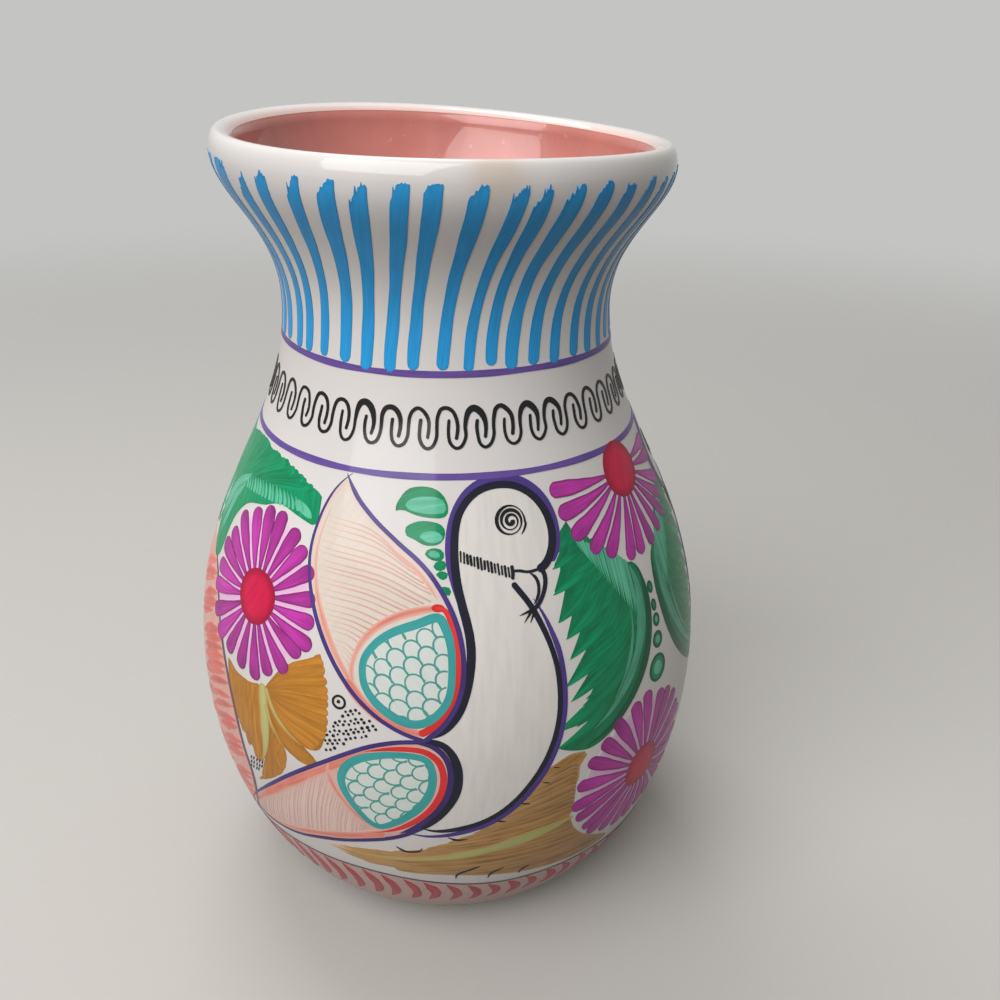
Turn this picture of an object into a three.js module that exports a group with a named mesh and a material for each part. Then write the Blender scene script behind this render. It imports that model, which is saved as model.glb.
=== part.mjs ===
// A hand-built clay vase: round belly, narrow waist, flared neck with a rolled lip.
// Millimetres, +Z up, origin at the centre of the flat base. The vase faces -Y.
//
// The clay body is built up in sections that are luted together on flat seams.
// A white slip coat covers it outside and over the lip, and a pink glaze lines it.

import * as THREE from "three";

// Outline of the finished vase
const VASE_HEIGHT = 230;
const FOOT_RADIUS = 42;
const BELLY_RADIUS = 78.2;
const BELLY_HEIGHT = 75.8;
const WAIST_RADIUS = 46.3;
const WAIST_HEIGHT = 186.5;
const RIM_RADIUS = 61.9;

// How far each stretch of the outline runs on before it turns
const FOOT_LEAN = 0.2;
const FOOT_REACH = 17.5;
const BELLY_REACH_DOWN = 42;
const BELLY_REACH_UP = 53.4;
const WAIST_REACH_DOWN = 37.6;
const WAIST_REACH_UP = 19.3;
const RIM_REACH_DOWN = 10.4;

// Wall, floor and lip
const WALL_THICKNESS = 5;
const FLOOR_THICKNESS = 7.4;
const LIP_THICKNESS = 7.4;
const LIP_ROUND_HEIGHT = 5.3;
const LIP_OUTER_ROUND = 2.5;
const LIP_SWELL_HEIGHT = 20;

// Coats, and the joint that keeps them clear of the clay
const SLIP_THICKNESS = 0.4;
const GLAZE_THICKNESS = 0.4;
const COAT_CLEARANCE = 0.1;
const BARE_FOOT_HEIGHT = 1.2;
const GLAZE_EDGE_ANGLE = THREE.MathUtils.degToRad(39);

// Seams between the sections. The bowl and the shoulder meet where the belly is widest.
const NECK_SEAM_HEIGHT = 142;
const LIP_SEAM_DEPTH = 13;

// The rim was shaped by hand, so it is not quite level
const RIM_RISE_X = -0.031;
const RIM_RISE_Y = 0.03;
const RIM_WAVE = 0.8;
const RIM_WAVE_ANGLE = THREE.MathUtils.degToRad(-60);

// Fineness of the facets
const SIDES = 48;
const OUTLINE_SAMPLES = 240;
const BOWL_ROWS = 6;
const SHOULDER_ROWS = 6;
const NECK_ROWS = 8;
const LIP_ROWS = 2;
const ROUND_ROWS = 3;
const BOWL_CROWDING = 1.4;

const LIP_SIDE_HEIGHT = VASE_HEIGHT - LIP_ROUND_HEIGHT;
const LIP_SEAM_HEIGHT = VASE_HEIGHT - LIP_SEAM_DEPTH;
const LIP_CENTRE_RADIUS = RIM_RADIUS - LIP_OUTER_ROUND;
const LIP_INNER_ROUND = LIP_THICKNESS - LIP_OUTER_ROUND;

// Depths below the finished outside
const CLAY_DEPTH = SLIP_THICKNESS + COAT_CLEARANCE;
const CLAY_INNER_RISE = GLAZE_THICKNESS + COAT_CLEARANCE;

const point = (radius, height) => new THREE.Vector2(radius, height);

// The outside from the foot to the side of the lip, as three tangent curves
const outline = new THREE.CurvePath();
outline.add(new THREE.CubicBezierCurve(
  point(FOOT_RADIUS, 0),
  point(FOOT_RADIUS + FOOT_REACH * Math.cos(FOOT_LEAN), FOOT_REACH * Math.sin(FOOT_LEAN)),
  point(BELLY_RADIUS, BELLY_HEIGHT - BELLY_REACH_DOWN),
  point(BELLY_RADIUS, BELLY_HEIGHT),
));
outline.add(new THREE.CubicBezierCurve(
  point(BELLY_RADIUS, BELLY_HEIGHT),
  point(BELLY_RADIUS, BELLY_HEIGHT + BELLY_REACH_UP),
  point(WAIST_RADIUS, WAIST_HEIGHT - WAIST_REACH_DOWN),
  point(WAIST_RADIUS, WAIST_HEIGHT),
));
outline.add(new THREE.CubicBezierCurve(
  point(WAIST_RADIUS, WAIST_HEIGHT),
  point(WAIST_RADIUS, WAIST_HEIGHT + WAIST_REACH_UP),
  point(RIM_RADIUS, LIP_SIDE_HEIGHT - RIM_REACH_DOWN),
  point(RIM_RADIUS, LIP_SIDE_HEIGHT),
));

// Full thickness of the finished wall at a height: it swells into the lip
function wallThickness(height) {
  const share = THREE.MathUtils.smoothstep(height, LIP_SIDE_HEIGHT - LIP_SWELL_HEIGHT, LIP_SIDE_HEIGHT);
  return THREE.MathUtils.lerp(WALL_THICKNESS, LIP_THICKNESS, share);
}

// The outline moved inwards, square to itself, by a depth that may vary with height
function insetOutline(depthAt) {
  const points = [];
  for (let i = 0; i <= OUTLINE_SAMPLES; i += 1) {
    const share = i / OUTLINE_SAMPLES;
    const place = outline.getPoint(share);
    const along = outline.getTangent(share);
    const depth = depthAt(place.y);
    points.push(point(place.x - along.y * depth, place.y + along.x * depth));
  }
  return points;
}

// Radius of such a line at a height
function radiusAt(line, height) {
  const last = line.length - 1;
  const above = line.findIndex((place) => place.y >= height);
  const k = above === -1 ? last : Math.max(above, 1);
  const low = line[k - 1];
  const high = line[k];
  const share = THREE.MathUtils.clamp((height - low.y) / (high.y - low.y), 0, 1);
  return THREE.MathUtils.lerp(low.x, high.x, share);
}

const surfaces = {
  slipOutside: insetOutline(() => 0),
  slipInside: insetOutline(() => SLIP_THICKNESS),
  clayOutside: insetOutline(() => CLAY_DEPTH),
  clayInside: insetOutline((height) => wallThickness(height) - CLAY_INNER_RISE),
  glazeOutside: insetOutline((height) => wallThickness(height) - GLAZE_THICKNESS),
  glazeInside: insetOutline((height) => wallThickness(height)),
};

// Steps from one value to another, both included. Crowding above 1 puts more of them
// near the first.
function spaced(from, to, steps, crowding = 1) {
  return Array.from({ length: steps + 1 }, (_, i) => (
    THREE.MathUtils.lerp(from, to, (i / steps) ** crowding)
  ));
}

const rowsAt = (line, levels) => levels.map((height) => point(radiusAt(line, height), height));

// Angles round the top of the lip, from its outer side over the crest to its inner
// side. The slip ends and the glaze begins at one of them.
const SLIP_END = Math.PI - GLAZE_EDGE_ANGLE;
const outerAngles = spaced(0, Math.PI / 2, ROUND_ROWS);
const crestAngles = spaced(Math.PI / 2, SLIP_END, ROUND_ROWS - 1).slice(1);
const slipAngles = [...outerAngles, ...crestAngles];

// Rounded top of the lip at a depth below its finished surface
function lipRound(depth, angles) {
  return angles.map((angle) => {
    const reach = (angle < Math.PI / 2 ? LIP_OUTER_ROUND : LIP_INNER_ROUND) - depth;
    return point(
      LIP_CENTRE_RADIUS + reach * Math.cos(angle),
      LIP_SIDE_HEIGHT + (LIP_ROUND_HEIGHT - depth) * Math.sin(angle),
    );
  });
}

// The hand-made rim: heights near the top rise and fall a little round the vase
function handShaped(x, y, z) {
  const share = THREE.MathUtils.smoothstep(z, NECK_SEAM_HEIGHT, VASE_HEIGHT);
  const angle = Math.atan2(y, x);
  const wave = RIM_WAVE * Math.cos(2 * (angle - RIM_WAVE_ANGLE));
  return z + share * (RIM_RISE_X * x + RIM_RISE_Y * y + wave);
}

// A solid of revolution from a closed section. Each facet is split along the same
// diagonal, from its lower edge to the next side's upper edge, whichever way the
// section runs, so that two sections with the same seam meet face to face.
function turned(section) {
  const rows = section.length;
  const positions = [];
  for (let side = 0; side < SIDES; side += 1) {
    const turn = (2 * Math.PI * side) / SIDES;
    for (const place of section) {
      const x = place.x * Math.cos(turn);
      const y = place.x * Math.sin(turn);
      positions.push(x, y, handShaped(x, y, place.y));
    }
  }
  const index = [];
  const addFacet = (a, b, c) => {
    if (a !== b && b !== c && c !== a) index.push(a, b, c);
  };
  // On the axis all sides share one vertex
  const onAxis = (row) => section[row].x === 0;
  const vertex = (side, row) => (onAxis(row) ? row : (side % SIDES) * rows + row);
  for (let side = 0; side < SIDES; side += 1) {
    for (let row = 0; row < rows; row += 1) {
      const next = (row + 1) % rows;
      if (onAxis(row) && onAxis(next)) continue;
      const here = vertex(side, row);
      const beyond = vertex(side, next);
      const hereTurned = vertex(side + 1, row);
      const beyondTurned = vertex(side + 1, next);
      const first = section[row];
      const second = section[next];
      const rises = second.y === first.y ? second.x > first.x : second.y > first.y;
      if (rises) {
        addFacet(here, hereTurned, beyondTurned);
        addFacet(here, beyondTurned, beyond);
      } else {
        addFacet(here, hereTurned, beyond);
        addFacet(hereTurned, beyondTurned, beyond);
      }
    }
  }
  const geometry = new THREE.BufferGeometry();
  geometry.setAttribute("position", new THREE.Float32BufferAttribute(positions, 3));
  geometry.setIndex(index);
  geometry.computeVertexNormals();
  return geometry;
}

const CLAY = { color: 0xb5704f, roughness: 0.9, metalness: 0 };
const SLIP = { color: 0xe9e3d8, roughness: 0.18, metalness: 0 };
const GLAZE = { color: 0xc4796c, roughness: 0.2, metalness: 0 };

function piece(name, section, finish) {
  const mesh = new THREE.Mesh(turned(section), new THREE.MeshStandardMaterial(finish));
  mesh.name = name;
  return mesh;
}

// A wall section between two seams: up the outside, down the inside
function wallSection(levels) {
  const outside = rowsAt(surfaces.clayOutside, levels);
  const inside = rowsAt(surfaces.clayInside, [...levels].reverse());
  return [...outside, ...inside];
}

// Base disc: a flat slab whose edge carries on the line of the belly
function baseDisc() {
  const edge = rowsAt(surfaces.clayOutside, edgeLevels);
  const seamInside = point(radiusAt(surfaces.clayInside, FLOOR_THICKNESS), FLOOR_THICKNESS);
  return [point(0, 0), point(FOOT_RADIUS, 0), ...edge, seamInside, point(0, FLOOR_THICKNESS)];
}

const edgeLevels = spaced(BARE_FOOT_HEIGHT + SLIP_THICKNESS, FLOOR_THICKNESS, 2);
// Heights of the rows of facets, closest where the bowl turns fastest
const bowlLevels = spaced(FLOOR_THICKNESS, BELLY_HEIGHT, BOWL_ROWS, BOWL_CROWDING);
const shoulderLevels = spaced(BELLY_HEIGHT, NECK_SEAM_HEIGHT, SHOULDER_ROWS);
const neckLevels = spaced(NECK_SEAM_HEIGHT, LIP_SEAM_HEIGHT, NECK_ROWS);
const lipLevels = spaced(LIP_SEAM_HEIGHT, LIP_SIDE_HEIGHT, LIP_ROWS);

// Levels of both coats, which follow the clay row by row
const wallLevels = [
  ...bowlLevels,
  ...shoulderLevels.slice(1),
  ...neckLevels.slice(1),
  ...lipLevels.slice(1),
];

// Lip ring: a rolled coil on top of the neck
function lipRing() {
  const outside = rowsAt(surfaces.clayOutside, lipLevels.slice(0, -1));
  const inside = rowsAt(surfaces.clayInside, lipLevels.slice(0, -1).reverse());
  const outerRound = lipRound(CLAY_DEPTH, slipAngles);
  const innerRound = lipRound(CLAY_INNER_RISE, [Math.PI]);
  return [...outside, ...outerRound, ...innerRound, ...inside];
}

// Slip coat: from just above the foot, up the outside and over the lip
function slipCoat() {
  const levels = [...edgeLevels.slice(0, -1), ...wallLevels.slice(0, -1)];
  const outside = rowsAt(surfaces.slipOutside, [BARE_FOOT_HEIGHT, ...levels.slice(1)]);
  const inside = rowsAt(surfaces.slipInside, [...levels].reverse());
  const over = lipRound(0, slipAngles);
  const under = lipRound(SLIP_THICKNESS, [...slipAngles].reverse());
  return [...outside, ...over, ...under, ...inside];
}

// Inner glaze: over the floor, up the inside and to the slip's edge on the lip
function innerGlaze() {
  const under = FLOOR_THICKNESS + COAT_CLEARANCE;
  const top = under + GLAZE_THICKNESS;
  const levels = wallLevels.slice(1, -1);
  const end = SLIP_END + (2 * COAT_CLEARANCE) / LIP_INNER_ROUND;
  const outside = rowsAt(surfaces.glazeOutside, [under, ...levels]);
  const inside = rowsAt(surfaces.glazeInside, [...levels.reverse(), top]);
  const up = lipRound(GLAZE_THICKNESS, [Math.PI, end]);
  const down = lipRound(0, [end, Math.PI]);
  return [point(0, under), ...outside, ...up, ...down, ...inside, point(0, top)];
}

const vase = new THREE.Group();
vase.name = "clay_vase";
vase.add(piece("base_disc", baseDisc(), CLAY));
vase.add(piece("lower_bowl", wallSection(bowlLevels), CLAY));
vase.add(piece("shoulder_wall", wallSection(shoulderLevels), CLAY));
vase.add(piece("neck_wall", wallSection(neckLevels), CLAY));
vase.add(piece("lip_ring", lipRing(), CLAY));
vase.add(piece("slip_coat", slipCoat(), SLIP));
vase.add(piece("inner_glaze", innerGlaze(), GLAZE));

export default vase;
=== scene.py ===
"""Looks of a hand-painted clay vase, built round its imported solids.

A place on the wall is written (round, up): degrees round the axis from the front,
positive towards the right, and millimetres along the outside from the foot.
"""

import math
import random

import bpy
import numpy as np
from mathutils import Matrix, Vector
from mathutils.geometry import delaunay_2d_cdt


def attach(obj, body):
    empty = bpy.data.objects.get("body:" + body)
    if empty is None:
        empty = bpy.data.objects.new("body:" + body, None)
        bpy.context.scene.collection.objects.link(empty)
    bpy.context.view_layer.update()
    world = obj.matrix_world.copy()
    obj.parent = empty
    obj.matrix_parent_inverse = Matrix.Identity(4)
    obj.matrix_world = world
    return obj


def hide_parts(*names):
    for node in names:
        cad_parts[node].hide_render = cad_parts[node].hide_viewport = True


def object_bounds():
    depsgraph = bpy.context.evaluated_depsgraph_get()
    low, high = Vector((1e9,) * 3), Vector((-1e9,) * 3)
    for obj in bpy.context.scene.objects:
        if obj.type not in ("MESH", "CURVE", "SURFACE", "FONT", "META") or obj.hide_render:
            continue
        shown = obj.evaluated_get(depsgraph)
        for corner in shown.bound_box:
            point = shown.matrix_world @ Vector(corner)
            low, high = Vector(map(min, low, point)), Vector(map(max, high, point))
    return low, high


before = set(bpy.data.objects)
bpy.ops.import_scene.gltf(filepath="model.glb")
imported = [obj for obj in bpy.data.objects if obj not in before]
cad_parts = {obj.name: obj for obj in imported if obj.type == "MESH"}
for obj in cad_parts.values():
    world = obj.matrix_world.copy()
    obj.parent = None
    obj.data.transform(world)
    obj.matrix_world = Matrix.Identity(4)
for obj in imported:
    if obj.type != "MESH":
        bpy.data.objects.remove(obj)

bl_info = {
    "name": "Painted clay vase",
    "version": (1, 0, 0),
    "blender": (4, 5, 0),
    "location": "View3D > Sidebar > Vase",
    "description": "Builds a painted clay vase and its studio",
    "category": "Object",
}

MM = 0.001
BODY = "root"
CAD_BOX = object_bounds()

# How finely the solids are drawn
CLAY_SIDES = 128
SLIP_SIDES = 256
GLAZE_SIDES = 224
SMOOTH_ANGLE = math.radians(40)
OUTLINE_STEPS = 400
PATH_STEPS = 4

# Spacing of the rows of the solids, in millimetres
CLAY_ROW = 3.0
FOOT_ROW = 1.5
SLIP_ROW = 2.0
GLAZE_ROW = 2.5
EDGE_STEPS = 20
GLAZE_EDGE_STEPS = 6

# Lip, coats and seams, in millimetres
LIP_ROUND_HEIGHT = 5.3
LIP_OUTER_ROUND = 2.5
LIP_THICKNESS = 7.4
LIP_SWELL_HEIGHT = 20.0
WALL_THICKNESS = 5.0
FLOOR_THICKNESS = 7.4
BARE_FOOT_HEIGHT = 1.2
NECK_SEAM_HEIGHT = 142.0
LIP_SEAM_DEPTH = 13.0
SLIP_DEPTH = 0.2
SLIP_BACK_DEPTH = 0.45
CLAY_DEPTH = 0.5
GLAZE_THICKNESS = 0.4
COAT_CLEARANCE = 0.1
GLAZE_EDGE_ANGLE = math.radians(39)
GLAZE_EDGE_GAP = 0.004
GLAZE_LIP_DEPTH = 0.3
GLAZE_CORNER_REACH = 2.5
GLAZE_CORNER_RISE = 1.2

# How far each stretch of the outline runs on before it turns, in millimetres
FOOT_LEAN = 0.2
FOOT_REACH = 17.5
BELLY_REACH_DOWN = 42.0
BELLY_REACH_UP = 53.4
WAIST_REACH_DOWN = 37.6
WAIST_REACH_UP = 19.3
RIM_REACH_DOWN = 10.4

# Unevenness left by the hand
RIM_RISE_X = -0.031
RIM_RISE_Y = 0.03
RIM_WAVE = 0.8
RIM_WAVE_ANGLE = math.radians(-60)
WALL_UNEVENNESS = 0.16

# Heights of the layers of paint above the slip, in millimetres
WASH = 0.03
GROUND = 0.06
BODY_COLOUR = 0.09
OVERPAINT = 0.12
OUTLINE = 0.15
PEN = 0.18

# How deep a layer of paint reaches below the slip's face, and how much higher one
# shape of a layer lies than the one before it, until the count starts again
PAINT_ROOT = 0.12
SHAPE_STEP = 0.0015
FILL_LEVELS = 3
STROKE_LEVELS = 18

# Distance, across the hairs of the brush, between one shape and the next
BRUSH_SHIFT = 40.0

# How a stroke ends: at its start and at its end
FADING = ("round", "pointed")
RISING = ("pointed", "round")

# The painted scene is repeated in a mirror at this angle, and two coral panels
# stand opposite each other with the back between them
SCENE_AXIS = 51.0
PANEL_AXIS = -80.0
BACK_AXIS = -129.0


def linear(red, green, blue):
    """A colour given as 0 to 255 in the display's scale, as Blender's linear values."""
    def channel(value):
        share = value / 255
        return share / 12.92 if share <= 0.04045 else ((share + 0.055) / 1.055) ** 2.4
    return (channel(red), channel(green), channel(blue))


def colour_property(name, description, red, green, blue):
    return bpy.props.FloatVectorProperty(
        name=name,
        description=description,
        subtype="COLOR",
        size=3,
        min=0,
        max=1,
        default=linear(red, green, blue),
    )


def length_property(name, description, millimetres):
    return bpy.props.FloatProperty(
        name=name,
        description=description,
        default=millimetres * MM,
        min=0,
        unit="LENGTH",
        subtype="DISTANCE",
    )


class VaseSizes(bpy.types.PropertyGroup):
    """Sizes of the finished vase."""

    height: length_property("Height", "Foot to the crest of the lip", 230)
    foot_radius: length_property("Foot radius", "Radius of the flat base", 42)
    belly_radius: length_property("Belly radius", "Largest radius", CAD_BOX[1].x / MM)
    belly_height: length_property("Belly height", "Height of the largest radius", 75.8)
    waist_radius: length_property("Waist radius", "Smallest radius", 46.3)
    waist_height: length_property("Waist height", "Height of the smallest radius", 186.5)
    rim_radius: length_property("Rim radius", "Radius at the side of the lip", 61.9)


class VaseColours(bpy.types.PropertyGroup):
    """Colours of the clay, the coats and the paints."""

    clay: colour_property("Clay", "Bare clay at the foot", 181, 112, 79)
    slip: colour_property("Slip", "White slip outside", 231, 227, 225)
    glaze: colour_property("Glaze", "Pink glaze inside", 206, 126, 115)
    white: colour_property("White", "Body of the dove", 236, 232, 227)
    blue: colour_property("Blue", "Stripes on the neck", 40, 160, 228)
    purple: colour_property("Purple", "Rings and outer lines", 82, 62, 142)
    navy: colour_property("Navy", "Outline of the dove", 26, 28, 46)
    black: colour_property("Black", "Pen lines", 22, 22, 26)
    magenta: colour_property("Magenta", "Petals", 184, 54, 160)
    crimson: colour_property("Crimson", "Hearts of the daisies", 222, 24, 78)
    green: colour_property("Green", "Leaves", 0, 144, 94)
    mint: colour_property("Mint", "Light strokes on the leaves", 104, 206, 170)
    ochre: colour_property("Ochre", "Brown leaves", 200, 134, 46)
    vein: colour_property("Vein", "Veins of the brown leaves", 202, 202, 132)
    coral: colour_property("Coral", "Borders of the wings", 243, 138, 123)
    red: colour_property("Red", "Bright edges of the wings", 228, 54, 52)
    peach: colour_property("Peach", "Ground of the wings", 234, 222, 211)
    pink: colour_property("Pink", "Ground of the lower wings", 232, 192, 182)
    teal: colour_property("Teal", "Rings on the wings", 64, 172, 172)
    pale_mint: colour_property("Pale mint", "Ground of the scales", 226, 234, 229)
    rose: colour_property("Rose", "Crescents round the base", 194, 72, 84)


def sizes():
    return bpy.context.scene.vase_sizes


def colours():
    return bpy.context.scene.vase_colours


def smoothstep(values, low, high):
    share = np.clip((np.asarray(values, float) - low) / (high - low), 0, 1)
    return share * share * (3 - 2 * share)


def hand_shaped(points):
    """Points in millimetres, moved as the potter's hand left the wall and the rim."""
    points = np.array(points, float)
    x, y, z = points.T
    angle = np.arctan2(y, x)
    radius = np.maximum(np.hypot(x, y), 1.0)
    uneven = (
        0.5 * np.sin(2 * angle + 1.3 + z / 35)
        + 0.3 * np.sin(5 * angle - z / 22 + 0.7)
        + 0.2 * np.sin(9 * angle + z / 12)
    )
    swell = 1 + WALL_UNEVENNESS * uneven * smoothstep(z, 5, 20) / radius
    share = smoothstep(z, NECK_SEAM_HEIGHT, sizes().height / MM)
    wave = RIM_WAVE * np.cos(2 * (angle - RIM_WAVE_ANGLE))
    rise = share * (RIM_RISE_X * x + RIM_RISE_Y * y + wave)
    return np.stack([x * swell, y * swell, z + rise], axis=1)


def raised(place, rise):
    return (place[0], place[1] + rise)


def bezier(start, first, second, end):
    t = np.linspace(0, 1, OUTLINE_STEPS)[:, None]
    parts = [np.array(place, float) for place in (start, first, second, end)]
    weights = ((1 - t) ** 3, 3 * t * (1 - t) ** 2, 3 * t * t * (1 - t), t ** 3)
    return sum(weight * part for weight, part in zip(weights, parts))


class Wall:
    """The outline of the finished vase, as radii and heights in millimetres."""

    def __init__(self):
        size = sizes()
        self.top = size.height / MM
        self.rim = size.rim_radius / MM
        self.side = self.top - LIP_ROUND_HEIGHT
        foot = size.foot_radius / MM
        belly = (size.belly_radius / MM, size.belly_height / MM)
        waist = (size.waist_radius / MM, size.waist_height / MM)
        self.belly_height = belly[1]
        rim = (self.rim, self.side)
        lean = (foot + FOOT_REACH * math.cos(FOOT_LEAN), FOOT_REACH * math.sin(FOOT_LEAN))
        stretches = [
            bezier((foot, 0), lean, raised(belly, -BELLY_REACH_DOWN), belly),
            bezier(belly, raised(belly, BELLY_REACH_UP), raised(waist, -WAIST_REACH_DOWN), waist)[1:],
            bezier(waist, raised(waist, WAIST_REACH_UP), raised(rim, -RIM_REACH_DOWN), rim)[1:],
        ]
        self.outline = np.vstack(stretches)
        steps = np.hypot(*np.diff(self.outline, axis=0).T)
        self.up = np.concatenate([[0], np.cumsum(steps)])
        along = np.gradient(self.outline, self.up, axis=0)
        along /= np.linalg.norm(along, axis=1)[:, None]
        self.out = np.stack([along[:, 1], -along[:, 0]], axis=1)

    def thickness(self, heights):
        share = smoothstep(heights, self.side - LIP_SWELL_HEIGHT, self.side)
        return WALL_THICKNESS + (LIP_THICKNESS - WALL_THICKNESS) * share

    def inset(self, depth):
        """The outline moved inwards, square to itself."""
        return self.outline - self.out * np.broadcast_to(depth, len(self.outline))[:, None]

    def inside(self, rise):
        """A line that lies a given rise behind the finished inner surface."""
        return self.inset(self.thickness(self.outline[:, 1]) - rise)

    def levels(self, low, high, step):
        """Heights of rows spaced by a step along the outline, both ends included."""
        between = np.interp([low, high], self.outline[:, 1], self.up)
        count = max(2, round((between[1] - between[0]) / step))
        heights = np.interp(np.linspace(*between, count + 1), self.up, self.outline[:, 1])
        heights[0], heights[-1] = low, high
        return heights

    def lip(self, depth, start, end, steps=14):
        """Rounded top of the lip: angle 0 is its outer side, pi its inner side."""
        angle = np.linspace(start, end, steps + 1)
        inner_round = LIP_THICKNESS - LIP_OUTER_ROUND
        reach = np.where(angle < math.pi / 2, LIP_OUTER_ROUND, inner_round) - depth
        centre = self.rim - LIP_OUTER_ROUND
        height = self.side + (LIP_ROUND_HEIGHT - depth) * np.sin(angle)
        return np.stack([centre + reach * np.cos(angle), height], axis=1)

    def mm_per_degree(self, up):
        return np.interp(up, self.up, self.outline[:, 0]) * math.pi / 180

    def points(self, places, lift):
        """Points in millimetres of places (round, up) at a lift above the slip."""
        turn = np.radians(places[:, 0])
        lift = np.asarray(lift) - SLIP_DEPTH
        out = [np.interp(places[:, 1], self.up, self.out[:, k]) for k in (0, 1)]
        radius = np.interp(places[:, 1], self.up, self.outline[:, 0]) + out[0] * lift
        height = np.interp(places[:, 1], self.up, self.outline[:, 1]) + out[1] * lift
        flat = np.stack([radius * np.sin(turn), -radius * np.cos(turn), height], axis=1)
        return hand_shaped(flat)


def rows(line, heights):
    """Places on a line, as (radius, height), at given heights."""
    return np.stack([np.interp(heights, line[:, 1], line[:, 0]), heights], axis=1)


def deselect_all():
    if bpy.context.mode != "OBJECT":
        bpy.ops.object.mode_set(mode="OBJECT")
    bpy.ops.object.select_all(action="DESELECT")


def finish_piece(piece, name, material, *nodes, slot):
    """Names a piece, gives it its material, and sets it on the vase's one body."""
    piece.name = name
    piece.data.name = name
    piece.data.materials.clear()
    piece.data.materials.append(material)
    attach(piece, BODY)
    if nodes:
        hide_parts(*nodes)
    return piece


def turned_shell(section, sides):
    """A closed section, as (radius, height) in millimetres, spun round the axis."""
    deselect_all()
    bpy.ops.mesh.primitive_circle_add(vertices=len(section), radius=section[:, 0].max() * MM)
    shell = bpy.context.object
    for vertex, (radius, height) in zip(shell.data.vertices, section):
        vertex.co = (radius * MM, 0, height * MM)
    on_axis = [k for k, (radius, _) in enumerate(section) if radius == 0]
    bpy.ops.object.mode_set(mode="EDIT")
    if on_axis:
        bpy.ops.mesh.select_all(action="DESELECT")
        bpy.ops.object.mode_set(mode="OBJECT")
        for edge in shell.data.edges:
            edge.select = all(k in on_axis for k in edge.vertices)
        bpy.ops.object.mode_set(mode="EDIT")
        bpy.ops.mesh.select_mode(type="EDGE")
        bpy.ops.mesh.delete(type="EDGE_FACE")
        bpy.ops.mesh.select_mode(type="VERT")
    bpy.ops.mesh.select_all(action="SELECT")
    bpy.ops.mesh.spin(steps=sides, angle=2 * math.pi, center=(0, 0, 0), axis=(0, 0, 1))
    bpy.ops.mesh.select_all(action="SELECT")
    bpy.ops.mesh.remove_doubles(threshold=0.002 * MM)
    bpy.ops.mesh.normals_make_consistent(inside=False)
    bpy.ops.object.mode_set(mode="OBJECT")
    mesh = shell.data
    flat = np.empty(len(mesh.vertices) * 3)
    mesh.vertices.foreach_get("co", flat)
    shaped = hand_shaped(flat.reshape(-1, 3) / MM) * MM
    mesh.vertices.foreach_set("co", shaped.ravel())
    mesh.update()
    bpy.ops.object.shade_smooth_by_angle(angle=SMOOTH_ANGLE)
    return shell


def smooth_path(places):
    """A curve through places that rounds every one of them."""
    places = np.array(places, float)
    ends = (2 * places[0] - places[1], 2 * places[-1] - places[-2])
    knots = np.vstack([ends[0], places, ends[1]])
    t = np.arange(PATH_STEPS)[:, None] / PATH_STEPS
    pieces = []
    for a, b, c, d in zip(knots, knots[1:], knots[2:], knots[3:]):
        bend = (2 * a - 5 * b + 4 * c - d) * t ** 2
        twist = (3 * b - a - 3 * c + d) * t ** 3
        pieces.append(0.5 * (2 * b + (c - a) * t + bend + twist))
    return np.vstack([*pieces, places[-1:]])


def closed_path(places):
    """A closed curve through places, rounded at every one of them."""
    count = len(places)
    wrapped = [places[k % count] for k in range(-2, count + 3)]
    return smooth_path(wrapped)[2 * PATH_STEPS:(2 + count) * PATH_STEPS]


def joined(*stretches):
    """Stretches of an outline that meet at corners, as one ring of places."""
    ring = [np.array(stretch, float)[:-1] for stretch in stretches]
    return np.vstack(ring)


def along(path, share):
    """The place at a share of the way along a path."""
    run = np.concatenate([[0], np.cumsum(np.hypot(*np.diff(path, axis=0).T))])
    return np.array([np.interp(share * run[-1], run, path[:, k]) for k in (0, 1)])


def mirrored(places, axis=SCENE_AXIS):
    return np.array([(2 * axis - turn, up) for turn, up in places])


def as_drawn(places):
    return np.array(places, float)


SIDES = (as_drawn, mirrored)


def flipped(grain, number):
    """The way the brush went, in degrees, on the drawn side (0) or the mirrored one (1)."""
    return 180 - grain if number else grain


def around(centre, radius, angle, scale):
    """A place at a distance in millimetres and an angle from a centre."""
    return (centre[0] + radius * math.cos(angle) / scale, centre[1] + radius * math.sin(angle))


def circle(centre, wide, count, scale, tall=None):
    """Places round a centre: a circle of a radius in millimetres, or an oval."""
    tall = wide if tall is None else tall
    angles = np.linspace(0, 2 * math.pi, count, endpoint=False)
    ring = [(centre[0] + wide * math.cos(a) / scale, centre[1] + tall * math.sin(a)) for a in angles]
    return np.array(ring)


def ramp(start, change):
    """A width or tone that changes evenly along a stroke."""
    return lambda share: start + change * share


def ease(start, change, low, high):
    """A width or tone that changes between two shares of the way along."""
    return lambda share: start + change * smoothstep(share, low, high)


def swelling(ends, more):
    """A width that is larger in the middle of a stroke."""
    return lambda share: ends + more * np.sin(math.pi * share)


def hump(share, middle, spread):
    """1 at a middle, falling away smoothly on both sides of it."""
    return np.exp(-(((share - middle) / spread) ** 2))


def wander(count, size, seed, waves=5):
    """A smooth random line of values about zero, for unsteady widths and places."""
    chance = random.Random(seed)
    t = np.linspace(0, 1, count)
    line = np.zeros(count)
    for wave in range(1, waves + 1):
        line += chance.uniform(-1, 1) * np.sin(2 * math.pi * (wave * t + chance.random())) / wave ** 0.5
    return size * line / 1.6


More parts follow.
